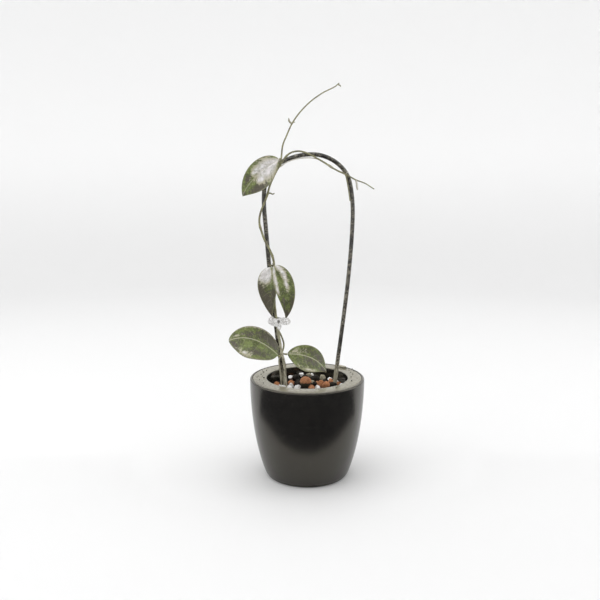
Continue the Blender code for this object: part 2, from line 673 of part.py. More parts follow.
def make_leaf(collection, leaf):
    """One leaf: a grid laid on the leaf's surface, thickened, and thinner at its edge."""

    def fill(work):
        bmesh.ops.create_grid(work, x_segments=LEAF_STATIONS, y_segments=LEAF_STRIPS, size=1.0)
        bmesh.ops.triangulate(work, faces=work.faces)

    item = add_object(leaf.name, mesh_from(fill), collection, "leaf")
    flesh = item.vertex_groups.new(name="flesh")
    for vert in item.data.vertices:
        share, side = 0.5 * (vert.co.x + 1.0), vert.co.y
        flesh.add([vert.index], 1.0 - abs(side) ** 3, "REPLACE")
        vert.co = leaf.surface(share, side) * MM
    solid = item.modifiers.new("thickness", "SOLIDIFY")
    solid.thickness = LEAF_THICK * MM
    solid.offset = 0.0
    solid.vertex_group = flesh.name
    solid.thickness_vertex_group = LEAF_EDGE
    smooth_shade(item)
    return item


def stadium(first, second, radius, count=9):
    """Outline of a slot with round ends about two centres."""
    first, second = Vector(first), Vector(second)
    heading = math.degrees(math.atan2(second.y - first.y, second.x - first.x))
    far = arc(second, radius, heading - 90.0, heading + 90.0, count)
    near = arc(first, radius, heading + 90.0, heading + 270.0, count)
    return far + near


def oval(width, height, count=14):
    """Outline of an oval of full width and height."""
    return [(0.5 * width * math.cos(math.tau * index / count),
             0.5 * height * math.sin(math.tau * index / count)) for index in range(count)]


def make_clip_wing(collection, name, centre, width, height, thickness, tilt):
    """A flat oval wing of the clip, upright in the hoop's plane and tilted in it."""
    place = (Matrix.Translation(on_hoop(centre) * MM) @ Matrix.Rotation(HOOP_TURN, 4, "Z")
             @ Matrix.Rotation(tilt, 4, "Y") @ Matrix.Rotation(math.pi / 2.0, 4, "X"))
    return flat_piece(name, [oval(width, height)], thickness, collection, place)


def make_plant_clip(collection, cutters):
    """The small clear clip: a sleeve round hoop and vine, with three wings."""
    hoop_centre = on_hoop(CLIP_HOOP_PLACE)
    vine_centre = on_hoop(CLIP_VINE_PLACE)
    bore = HOOP_RADIUS + 3.0 * GAP
    middle = Matrix.Translation((0.0, 0.0, CLIP_HOOP_PLACE[2] * MM))
    clip = flat_piece("plant_clip", [stadium(hoop_centre, vine_centre, bore + CLIP_WALL)], CLIP_HEIGHT,
                      collection, middle, "plant_clip")
    unite(clip, [make_clip_wing(cutters, *wing) for wing in CLIP_WINGS])
    hole = flat_piece("clip bore", [stadium(hoop_centre, vine_centre, bore)], 3.0 * CLIP_HEIGHT,
                      cutters, middle)
    cut(clip, as_cutter(hole))
    return clip


def main():
    """Builds every piece of the potted hoya."""
    clear_scene()
    parts = add_collection("potted hoya")
    cutters = add_collection("cutters")
    make_pot_shell(parts)
    make_pot_liner(parts, cutters)
    make_gravel_bed(parts, cutters)
    make_clay_ball(parts)
    make_support_hoop(parts)
    make_vine_stem(parts, cutters, petiole_routes())
    for leaf in LEAVES:
        make_leaf(parts, leaf)
    make_plant_clip(parts, cutters)


main()
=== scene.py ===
"""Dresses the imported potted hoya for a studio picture.

Lengths are named in millimetres and become metres as each mesh is made. The pot's underside is
centred on the origin, +Z is up and -Y is the front. Every piece stands for the CAD node that it
names and keeps its form: the same turned profiles, the same routes of hoop and vine, and the same
leaf surfaces, with finer meshes and their own finishes.
"""

from __future__ import annotations

import logging
import math
import random
from collections.abc import Callable, Sequence
from dataclasses import dataclass, field
from enum import Enum

import bmesh
import bpy
from mathutils import Matrix, Vector, noise

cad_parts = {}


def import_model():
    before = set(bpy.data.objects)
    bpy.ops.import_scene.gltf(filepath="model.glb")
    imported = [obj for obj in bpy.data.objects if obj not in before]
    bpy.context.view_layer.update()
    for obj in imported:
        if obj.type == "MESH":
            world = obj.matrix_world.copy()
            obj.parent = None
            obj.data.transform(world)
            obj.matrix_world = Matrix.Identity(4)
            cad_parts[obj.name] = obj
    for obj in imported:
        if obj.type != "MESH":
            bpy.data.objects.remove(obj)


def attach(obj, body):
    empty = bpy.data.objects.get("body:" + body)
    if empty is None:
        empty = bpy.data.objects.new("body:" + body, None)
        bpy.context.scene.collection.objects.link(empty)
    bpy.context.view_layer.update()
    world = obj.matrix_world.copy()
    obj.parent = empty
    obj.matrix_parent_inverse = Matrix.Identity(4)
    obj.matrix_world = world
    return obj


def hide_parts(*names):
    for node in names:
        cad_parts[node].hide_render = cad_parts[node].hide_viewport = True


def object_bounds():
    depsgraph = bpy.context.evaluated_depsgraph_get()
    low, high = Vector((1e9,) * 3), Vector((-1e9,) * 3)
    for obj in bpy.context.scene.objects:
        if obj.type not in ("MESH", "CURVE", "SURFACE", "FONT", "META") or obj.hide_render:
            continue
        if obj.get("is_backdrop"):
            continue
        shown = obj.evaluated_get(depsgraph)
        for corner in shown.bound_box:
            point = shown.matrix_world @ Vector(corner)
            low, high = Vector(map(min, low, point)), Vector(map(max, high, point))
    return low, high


LOG = logging.getLogger("potted_hoya")
MM = 0.001
PER_METRE = 1.0 / MM
ROOT = "root"
SEED = 27

Colour = tuple[float, float, float]
Place = tuple[float, float, float]
Profile = list[tuple[float, float]]
Skin = Callable[[float, float, float], float]       # relief at a length, a turn and a share of the length


def tint(code: str) -> Colour:
    """Turns a six-digit screen colour into linear light.

    Args:
        code: The colour as hexadecimal digits.

    Returns:
        Red, green and blue as linear values.
    """
    parts = [int(code[index:index + 2], 16) / 255.0 for index in (0, 2, 4)]
    return tuple(part / 12.92 if part <= 0.04045 else ((part + 0.055) / 1.055) ** 2.4
                 for part in parts)


def smooth_step(value: float, low: float, high: float) -> float:
    """Rises smoothly from 0 at low to 1 at high."""
    share = min(max((value - low) / (high - low), 0.0), 1.0)
    return share * share * (3.0 - 2.0 * share)


# Finishes.


class Finish:
    """Builds the node tree of one finish on a Principled shader."""

    def __init__(self, name: str) -> None:
        """Starts an empty finish with a name."""
        self.material = bpy.data.materials.new(name)
        self.material.use_nodes = True
        self.tree = self.material.node_tree
        self.shader = self.tree.nodes["Principled BSDF"]
        self.place = self.node("ShaderNodeTexCoord").outputs["Object"]

    def put(self, socket: bpy.types.NodeSocket, value: object) -> None:
        """Links an output to a socket, or sets the socket's own value.

        Args:
            socket: The input to fill.
            value: An output socket, a number or a colour.
        """
        if isinstance(value, bpy.types.NodeSocket):
            self.tree.links.new(value, socket)
        elif socket.type == "RGBA":
            socket.default_value = (*value, 1.0)
        else:
            socket.default_value = value

    def node(self, kind: str, settings: dict[str, object] | None = None, **inputs: object) -> bpy.types.Node:
        """Adds a node.

        Args:
            kind: The node's type.
            settings: Its options by attribute name.
            inputs: Its inputs by name, with _ for a space.

        Returns:
            The node.
        """
        item = self.tree.nodes.new(kind)
        for key, value in (settings or {}).items():
            setattr(item, key, value)
        for key, value in inputs.items():
            self.put(item.inputs[key.replace("_", " ")], value)
        return item

    def calc(self, operation: str, first: object, second: object = 0.0) -> bpy.types.NodeSocket:
        """Adds a Math node and returns its result."""
        item = self.node("ShaderNodeMath", {"operation": operation})
        self.put(item.inputs[0], first)
        self.put(item.inputs[1], second)
        return item.outputs[0]

    def times(self, first: object, second: object) -> bpy.types.NodeSocket:
        """Multiplies two values."""
        return self.calc("MULTIPLY", first, second)

    def plus(self, first: object, second: object) -> bpy.types.NodeSocket:
        """Adds two values."""
        return self.calc("ADD", first, second)

    def less(self, first: object, second: object) -> bpy.types.NodeSocket:
        """Takes the second value from the first."""
        return self.calc("SUBTRACT", first, second)

    def rise(self, value: object, low: float, high: float, top: float = 1.0) -> bpy.types.NodeSocket:
        """Maps a value smoothly from 0 at low to top at high."""
        item = self.node("ShaderNodeMapRange", {"interpolation_type": "SMOOTHSTEP"}, Value=value,
                         From_Min=low, From_Max=high, To_Min=0.0, To_Max=top)
        return item.outputs["Result"]

    def blend(self, share: object, first: object, second: object) -> bpy.types.NodeSocket:
        """Mixes two colours by a share and returns the colour."""
        item = self.node("ShaderNodeMix", {"data_type": "RGBA"})
        self.put(item.inputs[0], share)
        self.put(item.inputs[6], first)
        self.put(item.inputs[7], second)
        return item.outputs[2]

    def cloud(self, size: float, detail: float = 3.0, roughness: float = 0.5) -> bpy.types.NodeSocket:
        """Adds soft noise.

        Args:
            size: The size of its features in millimetres on Object coordinates.
            detail: How many finer layers it has.
            roughness: The strength of the finer layers.

        Returns:
            The noise, about 0.5 on average.
        """
        item = self.node("ShaderNodeTexNoise", Vector=self.place, Scale=PER_METRE / size,
                         Detail=detail, Roughness=roughness)
        return item.outputs["Fac"]

    def cells(self, size: float) -> bpy.types.NodeSocket:
        """Adds cell noise of a size in millimetres and returns the distance to the cells."""
        item = self.node("ShaderNodeTexVoronoi", Vector=self.place, Scale=PER_METRE / size)
        return item.outputs["Distance"]

    def value(self, name: str) -> bpy.types.NodeSocket:
        """Reads a number that the mesh holds for each vertex."""
        return self.node("ShaderNodeAttribute", {"attribute_name": name}).outputs["Fac"]

    def along(self, axis: str) -> bpy.types.NodeSocket:
        """Reads one of the Object coordinates, in metres."""
        return self.node("ShaderNodeSeparateXYZ", Vector=self.place).outputs[axis]

    def lying(self) -> bpy.types.NodeSocket:
        """Is 1 on faces that look up, where dust and lime settle, and 0 on upright ones."""
        normal = self.node("ShaderNodeNewGeometry").outputs["Normal"]
        return self.rise(self.node("ShaderNodeSeparateXYZ", Vector=normal).outputs["Z"], 0.55, 0.95)

    def relief(self, height: object, depth: float, strength: float = 1.0,
               normal: object = None) -> bpy.types.NodeSocket:
        """Adds a bump of a depth in millimetres over another normal, if there is one."""
        item = self.node("ShaderNodeBump", Height=height, Distance=depth * MM, Strength=strength)
        if normal is not None:
            self.put(item.inputs["Normal"], normal)
        return item.outputs["Normal"]

    def wear(self, **inputs: object) -> bpy.types.Material:
        """Fills the shader's inputs by name, with _ for a space, and returns the material."""
        for key, value in inputs.items():
            self.put(self.shader.inputs[key.replace("_", " ")], value)
        return self.material


@dataclass(frozen=True)
class GlossPlastic:
    """Polished dark plastic with faint moulding ripple, and lime film and dust where it lies flat."""

    name: str
    colour: Colour
    cast: Colour                # a slightly different shade that clouds through it
    polish: float               # roughness where it is clean
    film: Colour
    film_share: float           # how much lime film shows on faces that look up
    speck: Colour
    speck_size: float           # millimetres
    speck_share: float
    ripple: float               # depth of the moulding ripple in millimetres
    dulling: float = 0.2        # roughness that film and specks add

    def make(self) -> bpy.types.Material:
        """Returns the finish as a material."""
        work = Finish(self.name)
        flat = work.lying()
        body = work.blend(work.rise(work.cloud(9.0, 5.0), 0.35, 0.65), self.colour, self.cast)
        stains = work.rise(work.cloud(3.0, 7.0, roughness=0.7), 0.10, 0.62, self.film_share)
        body = work.blend(work.times(stains, flat), body, self.film)
        patches = work.rise(work.cloud(8.0, 3.0), 0.50, 0.62)
        specks = work.rise(work.cells(self.speck_size), 0.24, 0.10, self.speck_share)
        specks = work.times(work.times(specks, patches), flat)
        colour = work.blend(specks, body, self.speck)
        scuffs = work.rise(work.cloud(2.2, 8.0, roughness=0.7), 0.40, 0.80, 0.05)
        dull = work.plus(work.times(stains, flat), specks)
        roughness = work.plus(work.plus(scuffs, self.polish), work.times(dull, self.dulling))
        waves = work.relief(work.cloud(16.0, 1.0), self.ripple)
        grain = work.relief(specks, 0.06, 0.5, work.relief(work.cloud(0.8, 3.0), 0.012, 0.15, waves))
        return work.wear(Base_Color=colour, Roughness=roughness, Normal=grain, IOR=1.7,
                         Specular_Tint=tint("f3ecd9"))


@dataclass(frozen=True)
class CoatedWire:
    """Black coated metal tube: satin gloss, worn brown-grey mottle, a few pale nicks and dried spots."""

    name: str
    colour: Colour
    worn: Colour
    spot: Colour
    crust: Colour               # lime on the legs, low down

    def make(self) -> bpy.types.Material:
        """Returns the finish as a material."""
        work = Finish(self.name)
        mottle = work.rise(work.cloud(2.4, 6.0, roughness=0.7), 0.40, 0.64, 0.85)
        broad = work.rise(work.cloud(15.0, 3.0), 0.30, 0.60)
        mottle = work.times(mottle, broad)
        spots = work.rise(work.cells(3.1), 0.15, 0.05)
        sparse = work.rise(work.cloud(11.0, 2.0), 0.54, 0.62)
        nicks = work.times(spots, sparse)
        colour = work.blend(nicks, work.blend(mottle, self.colour, self.worn), self.spot)
        low = work.plus(work.along("Z"), work.times(work.cloud(3.6, 5.0, roughness=0.7), 0.05))
        colour = work.blend(work.rise(low, 0.156, 0.138, 0.9), colour, self.crust)
        roughness = work.plus(work.times(mottle, 0.22), 0.20)
        skin = work.relief(work.cloud(0.7, 3.0), 0.04, 0.6)
        return work.wear(Base_Color=colour, Roughness=roughness, Coat_Weight=0.3, Coat_Roughness=0.2,
                         Normal=work.relief(nicks, 0.12, 0.8, skin))


@dataclass(frozen=True)
class Stone:
    """Open-pored or dense stone with two shades and stains, its pores and pits painted darker as painted
    shade in the hollows.
    """

    name: str
    light: Colour
    dark: Colour
    # painted shade: the darker colour of the pores and pits
    pit: Colour
    pore_size: float            # millimetres
    pore_depth: float
    pore_share: float
    roughness: float = 0.92
    stain: Colour = (0.05, 0.04, 0.03)
    stain_share: float = 0.3

    def make(self) -> bpy.types.Material:
        """Returns the finish as a material."""
        work = Finish(self.name)
        shade = work.rise(work.cloud(3.0, 6.0, roughness=0.6), 0.34, 0.66)
        pores = work.rise(work.cells(self.pore_size), 0.42, 0.16, self.pore_share)
        fine = work.rise(work.cells(0.42 * self.pore_size), 0.40, 0.12, 0.6 * self.pore_share)
        hollow = work.calc("MAXIMUM", pores, fine)
        own = work.value("tone")
        body = work.blend(work.plus(work.times(shade, 0.55), work.times(own, 0.45)),
                          self.dark, self.light)
        damp = work.rise(work.cloud(6.5, 3.0), 0.50, 0.70, self.stain_share)
        # The pores and pits take the pit colour: painted shade in the hollows.
        colour = work.blend(hollow, work.blend(damp, body, self.stain), self.pit)
        grit = work.relief(work.cloud(0.5, 4.0), 0.16, 0.7)
        bump = work.relief(work.less(1.0, hollow), self.pore_depth, 0.9, grit)
        return work.wear(Base_Color=colour, Roughness=self.roughness, Normal=bump, Specular_IOR_Level=0.3)


@dataclass(frozen=True)
class Bark:
    """Vine skin: corky and pale on old wood, green on young, with ridges and pale warts."""

    name: str
    old: Colour
    crack: Colour
    young: Colour
    flush: Colour               # reddish or dull cast of the young skin

    def make(self) -> bpy.types.Material:
        """Returns the finish as a material."""
        work = Finish(self.name)
        around = work.node("ShaderNodeUVMap", {"uv_map": "UVMap"}).outputs["UV"]
        stretched = work.node("ShaderNodeMapping", Vector=around, Scale=(0.10, 5.0, 1.0)).outputs["Vector"]
        ridges = work.node("ShaderNodeTexNoise", Vector=stretched, Scale=2.2, Detail=6.0,
                           Roughness=0.62).outputs["Fac"]
        age = work.value("age")
        crack = work.rise(ridges, 0.56, 0.36)
        wood = work.blend(crack, self.old, self.crack)
        skin = work.blend(work.rise(work.cloud(5.0, 4.0), 0.38, 0.66), self.young, self.flush)
        skin = work.blend(work.rise(ridges, 0.60, 0.75, 0.5), skin, self.old)
        skin = work.blend(work.rise(work.cloud(2.0, 5.0, roughness=0.66), 0.54, 0.64, 0.7), skin, self.crack)
        corky = work.rise(work.plus(age, work.times(work.cloud(7.0, 4.0), 0.5)), 0.55, 0.95)
        colour = work.blend(corky, skin, wood)
        warts = work.rise(work.cells(1.5), 0.24, 0.10, 0.7)
        warty = work.times(warts, work.rise(work.cloud(6.0, 2.0), 0.48, 0.60))
        colour = work.blend(warty, colour, self.old)
        roughness = work.plus(work.times(corky, 0.35), 0.48)
        bump = work.relief(ridges, 0.35, 0.7)
        return work.wear(Base_Color=colour, Roughness=roughness, Normal=work.relief(warts, 0.15, 0.5, bump),
                         Specular_IOR_Level=0.4)


@dataclass(frozen=True)
class LeafSkin:
    """Thick waxy leaf: deep green flesh with silver patches, flecks and dull bronze, a pale rib, and painted
    sheen where a patch is faint.
    """

    name: str
    deep: Colour
    green: Colour
    bright: Colour
    bronze: Colour
    silver: Colour
    pearl: Colour
    rib: Colour
    rim: Colour
    under: Colour
    sheen: Colour               # painted sheen along the low leaves' edges, and thin silver where a patch is faint
    fleck_share: float = 0.35
    haze: float = 0.12          # thin silver over the green

    def make(self) -> bpy.types.Material:
        """Returns the finish as a material."""
        work = Finish(self.name)
        reach = work.value("reach")
        side = work.value("side")
        mottle = work.cloud(2.4, 5.0, roughness=0.62)
        flesh = work.blend(work.rise(work.cloud(7.0, 3.0), 0.36, 0.62), self.deep, self.green)
        flesh = work.blend(work.rise(mottle, 0.50, 0.64, 0.75), flesh, self.bright)
        flesh = work.blend(work.rise(work.cloud(3.1, 4.0), 0.52, 0.40, 0.5), flesh, self.deep)
        bent = work.less(work.times(work.value("share"), 6.5), work.times(side, 1.1))
        along_veins = work.node("ShaderNodeCombineXYZ", X=work.times(bent, 1.6), Y=side,
                                Z=work.value("hand"))
        streaks = work.node("ShaderNodeTexNoise", Vector=along_veins.outputs["Vector"], Scale=2.2, Detail=5.0,
                            Roughness=0.6).outputs["Fac"]
        grain = work.less(work.cloud(2.2, 6.0, roughness=0.72), 0.5)
        dark = work.rise(work.plus(work.value("shade"), work.times(grain, 2.4)), 0.40, 0.66)
        flesh = work.blend(dark, flesh, self.bronze)
        ragged = work.times(work.less(work.cloud(2.6, 7.0, roughness=0.68), 0.5), 0.8)
        ragged = work.plus(ragged, work.times(work.less(streaks, 0.5), 0.7))
        splash_and_sheen = work.rise(work.plus(work.value("splash_and_sheen"), ragged), 0.42, 0.66)
        holes = work.plus(work.cloud(2.4, 5.0, roughness=0.62), work.less(streaks, 0.5))
        holes = work.rise(work.plus(holes, work.times(work.value("splash_and_sheen"), 0.16)), 0.47, 0.60)
        splash_and_sheen = work.times(splash_and_sheen, work.plus(work.times(holes, 0.4), 0.6))
        flecks = work.rise(work.cells(1.2), 0.28, 0.14)
        where = work.rise(work.cloud(4.5, 3.0), 0.50, 0.60, self.fleck_share)
        flecks = work.times(flecks, where)
        veil = work.rise(work.cloud(1.1, 5.0), 0.50, 0.72, self.haze)
        grey = work.blend(work.rise(work.cloud(4.2, 5.0, roughness=0.6), 0.38, 0.62), self.silver, self.pearl)
        # Faint patches take the sheen colour: thin silver at a patch's fringe, painted sheen on the low
        # leaves.
        grey = work.blend(work.rise(work.value("splash_and_sheen"), 0.58, 0.86), self.sheen, grey)
        face = work.blend(work.calc("MAXIMUM", splash_and_sheen, work.calc("MAXIMUM", flecks, veil)), flesh, grey)
        rib_edge = work.plus(reach, work.times(work.cloud(1.0, 3.0), 0.5))
        ribbed = work.times(work.rise(rib_edge, 1.0, 0.5), work.value("rib"))
        face = work.blend(ribbed, face, self.rib)
        bent = work.plus(bent, work.times(work.cloud(9.0, 2.0), 0.8))
        vein = work.calc("ABSOLUTE", work.less(work.calc("FRACT", bent), 0.5))
        vein = work.times(work.rise(vein, 0.085, 0.02), work.rise(side, 0.97, 0.35))
        face = work.blend(work.times(vein, 0.14), face, self.rib)
        face = work.blend(work.rise(side, 0.95, 0.99, 0.8), face, self.rim)
        back = work.blend(work.rise(mottle, 0.4, 0.7, 0.6), self.under, self.bright)
        back = work.blend(work.rise(rib_edge, 1.2, 0.6, 0.8), back, self.rib)
        colour = work.blend(work.rise(work.value("upper"), 0.30, 0.62), back, face)
        roughness = work.plus(work.times(mottle, 0.20), 0.30)
        roughness = work.plus(roughness, work.times(splash_and_sheen, 0.10))
        pores = work.relief(work.cloud(0.55, 3.0), 0.07, 0.5)
        swell = work.relief(work.cloud(4.5, 2.0), 0.5, 0.45, pores)
        raised = work.relief(vein, 0.22, 0.35, swell)
        return work.wear(Base_Color=colour, Roughness=roughness, Normal=raised, Subsurface_Weight=0.05,
                         Subsurface_Scale=0.002, Specular_IOR_Level=0.4)


@dataclass(frozen=True)
class ClearPlastic:
    """Small moulded clear part that has gone cloudy."""

    name: str
    colour: Colour
    cloudy: Colour
    grime: Colour

    def make(self) -> bpy.types.Material:
        """Returns the finish as a material."""
        work = Finish(self.name)
        haze = work.rise(work.cloud(1.6, 5.0), 0.35, 0.65)
        roughness = work.plus(work.times(haze, 0.25), 0.18)
        grime = work.rise(work.cloud(1.3, 6.0, roughness=0.7), 0.52, 0.64, 0.7)
        body = work.blend(grime, work.blend(haze, self.colour, self.cloudy), self.grime)
        return work.wear(Base_Color=body, Roughness=roughness, Transmission_Weight=0.2, IOR=1.46,
                         Normal=work.relief(work.cloud(0.8, 3.0), 0.06, 0.5))


@dataclass(frozen=True)
class BareSteel:
    """Bright spring wire."""

    name: str = "spring steel"

    def make(self) -> bpy.types.Material:
        """Returns the finish as a material."""
        work = Finish(self.name)
        rub = work.rise(work.cloud(0.6, 5.0), 0.3, 0.7, 0.25)
        return work.wear(Base_Color=work.blend(rub, tint("8f8c88"), tint("5a5754")), Metallic=1.0,
                         Roughness=work.plus(rub, 0.22))


# Meshes.


def settle(item: bpy.types.Object, slot: str, *nodes: str) -> bpy.types.Object:
    """Fits a finished piece to the object and reports it.

    Args:
        item: The piece, at the origin with its place in its mesh.
        slot: The material slot that it belongs to, which is only logged.
        nodes: The CAD nodes that it stands for.

    Returns:
        The piece.
    """
    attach(item, ROOT)
    if nodes:
        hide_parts(*nodes)
    LOG.info("%s: %d faces, slot %s, for %s", item.name, len(item.data.polygons), slot, nodes or "no node")
    return item


def add_piece(name: str, mesh: bpy.types.Mesh, finish: bpy.types.Material | None = None) -> bpy.types.Object:
    """Puts a mesh into the scene as a smooth named object."""
    item = bpy.data.objects.new(name, mesh)
    bpy.context.scene.collection.objects.link(item)
    mesh.shade_smooth()
    if finish:
        mesh.materials.clear()
        mesh.materials.append(finish)
    return item


def grid_mesh(name: str, rows: Sequence[Sequence[Vector]], closed: bool = True) -> bpy.types.Mesh:
    """Joins rows of points into quads, with row and column as UV.

    Args:
        name: The mesh's name.
        rows: Rows of equally many points, in metres.
        closed: True if each row's last point joins its first.

    Returns:
        The mesh.
    """
    count = len(rows[0])
    faces, corners = [], []
    for row in range(len(rows) - 1):
        for column in range(count if closed else count - 1):
            near, far = column, (column + 1) % count
            faces.append((row * count + near, row * count + far, (row + 1) * count + far,
                          (row + 1) * count + near))
            corners.append(((row, column), (row, column + 1), (row + 1, column + 1), (row + 1, column)))
    mesh = bpy.data.meshes.new(name)
    mesh.from_pydata([point for row in rows for point in row], [], faces)
    chart = mesh.uv_layers.new(name="UVMap")
    for polygon, places in zip(mesh.polygons, corners):
        for loop, (row, column) in zip(polygon.loop_indices, places):
            chart.data[loop].uv = (row, column / count)
    return mesh


def mend(mesh: bpy.types.Mesh, merge: float = 0.002) -> bpy.types.Mesh:
    """Welds doubles closer than merge millimetres, closes ends and turns the faces outwards."""
    work = bmesh.new()
    work.from_mesh(mesh)
    bmesh.ops.remove_doubles(work, verts=work.verts, dist=merge * MM)
    bmesh.ops.dissolve_degenerate(work, edges=work.edges, dist=0.5 * merge * MM)
    bmesh.ops.holes_fill(work, edges=[edge for edge in work.edges if edge.is_boundary], sides=0)
    bmesh.ops.recalc_face_normals(work, faces=work.faces)
    work.to_mesh(mesh)
    work.free()
    return mesh


def set_values(mesh: bpy.types.Mesh, name: str, values: Sequence[float]) -> None:
    """Stores one number for each vertex of a mesh."""
    mesh.attributes.new(name, "FLOAT", "POINT").data.foreach_set("value", list(values))


def turned_mesh(name: str, profile: Profile, steps: int) -> bpy.types.Mesh:
    """Turns a profile of (radius, height) millimetres from axis to axis into a closed mesh."""
    turns = [math.tau * step / steps for step in range(steps)]
    rows = []
    for radius, height in profile:
        reach = max(radius, 0.0) * MM
        rows.append([Vector((reach * math.cos(turn), reach * math.sin(turn), height * MM)) for turn in turns])
    return mend(grid_mesh(name, rows))


def arc(centre: tuple[float, float], radius: float, start: float, end: float, count: int) -> Profile:
    """Points of an arc in the profile's plane, with angles in degrees."""
    turns = [math.radians(start + (end - start) * index / count) for index in range(count + 1)]
    return [(centre[0] + radius * math.cos(turn), centre[1] + radius * math.sin(turn)) for turn in turns]


def fine_profile(profile: Profile, spacing: float) -> Profile:
    """Adds points to the long straight runs of a profile."""
    points = [profile[0]]
    for first, second in zip(profile, profile[1:]):
        count = max(1, round(math.dist(first, second) / spacing))
        for step in range(1, count + 1):
            share = step / count
            points.append((first[0] + (second[0] - first[0]) * share,
                           first[1] + (second[1] - first[1]) * share))
    return points


def smooth_route(points: Sequence[Place], spacing: float) -> list[Vector]:
    """Samples a centripetal curve through the points about every spacing, both ends kept."""
    spots = [Vector(point) for point in points]
    padded = [2.0 * spots[0] - spots[1], *spots, 2.0 * spots[-1] - spots[-2]]
    samples = []
    for index in range(1, len(padded) - 2):
        places = padded[index - 1:index + 3]
        knots = [0.0]
        for first, second in zip(places, places[1:]):
            knots.append(knots[-1] + math.sqrt((second - first).length))
        count = max(1, round((places[2] - places[1]).length / spacing))
        for step in range(count):
            share = step / count
            here = knots[1] + (knots[2] - knots[1]) * share
            level = places
            for width in (1, 2):
                level = [first.lerp(second, (here - knots[spot]) / (knots[spot + width] - knots[spot]))
                         for spot, (first, second) in enumerate(zip(level, level[1:]))]
            samples.append(level[0].lerp(level[1], share))
    samples.append(spots[-1])
    return samples


@dataclass
class Sweep:
    """A round stem along a route, with its own thickness and skin along it."""

    route: list[Vector]
    radius: Callable[[float], float]                            # millimetres at a share of the length
    sides: int = 20
    skin: Skin = lambda length, turn, share: 0.0
    cap_rings: int = 4
    age: Callable[[float], float] = lambda share: 0.0

    def mesh(self, name: str) -> bpy.types.Mesh:
        """Builds the closed mesh with rounded ends, its age for each vertex, and length as U.

        Args:
            name: The mesh's name.

        Returns:
            The mesh, in metres.
        """
        lengths = [0.0]
        for first, second in zip(self.route, self.route[1:]):
            lengths.append(lengths[-1] + (second - first).length)
        total = lengths[-1]
        headings = []
        for index in range(len(self.route)):
            ahead = self.route[min(index + 1, len(self.route) - 1)]
            behind = self.route[max(index - 1, 0)]
            headings.append((ahead - behind).normalized())
        side = headings[0].orthogonal().normalized()
        rows, ages = [], []

        def ring(centre: Vector, heading: Vector, length: float, scale: float) -> None:
            nonlocal side
            side = (side - heading * side.dot(heading)).normalized()
            other = heading.cross(side)
            share = min(max(length / total, 0.0), 1.0)
            row = []
            for step in range(self.sides):
                turn = math.tau * step / self.sides
                reach = (self.radius(share) + self.skin(length, turn, share)) * scale
                row.append((centre + (side * math.cos(turn) + other * math.sin(turn)) * reach) * MM)
            rows.append(row)
            ages.extend([self.age(share)] * self.sides)

        quarter = 0.5 * math.pi
        for step in range(self.cap_rings):
            lift = math.sin(quarter * step / self.cap_rings)
            out = self.radius(0.0) * math.cos(quarter * step / self.cap_rings)
            ring(self.route[0] + headings[0] * (self.radius(0.0) - out), headings[0], 0.0, max(lift, 0.02))
        start, end = self.radius(0.0), self.radius(1.0)
        for place, heading, length in zip(self.route, headings, lengths):
            if start < length < total - end:
                ring(place, heading, length, 1.0)
        for step in range(self.cap_rings, -1, -1):
            lift = math.sin(quarter * step / self.cap_rings)
            out = self.radius(1.0) * math.cos(quarter * step / self.cap_rings)
            ring(self.route[-1] - headings[-1] * (self.radius(1.0) - out), headings[-1], total,
                 max(lift, 0.02))
        mesh = grid_mesh(name, rows)
        set_values(mesh, "age", ages)
        return mend(mesh, 0.0005)


def join_meshes(name: str, meshes: Sequence[bpy.types.Mesh]) -> bpy.types.Mesh:
    """Puts several meshes with the same attributes into one."""
    work = bmesh.new()
    for mesh in meshes:
        work.from_mesh(mesh)
    joined = bpy.data.meshes.new(name)
    work.to_mesh(joined)
    work.free()
    return joined


def flat_outline(name: str, outlines: Sequence[Sequence[tuple[float, float]]], thickness: float,
                 rounding: float) -> bpy.types.Mesh:
    """Fills closed outlines, holes among them, and gives the plate a thickness and rounded edges."""
    curve = bpy.data.curves.new(name, "CURVE")
    curve.dimensions = "2D"
    curve.fill_mode = "BOTH"
    curve.extrude = max(0.5 * thickness - rounding, 0.01) * MM
    curve.bevel_depth = rounding * MM
    curve.bevel_resolution = 3
    curve.offset = -rounding * MM
    for outline in outlines:
        spline = curve.splines.new("POLY")
        spline.points.add(len(outline) - 1)
        for point, (x, y) in zip(spline.points, outline):
            point.co = (x * MM, y * MM, 0.0, 1.0)
        spline.use_cyclic_u = True
    guide = bpy.data.objects.new(name, curve)
    bpy.context.scene.collection.objects.link(guide)
    bpy.context.view_layer.update()
    mesh = bpy.data.meshes.new_from_object(guide.evaluated_get(bpy.context.evaluated_depsgraph_get()))
    bpy.data.objects.remove(guide, do_unlink=True)
    return mend(mesh)


# Geometry Nodes trees.


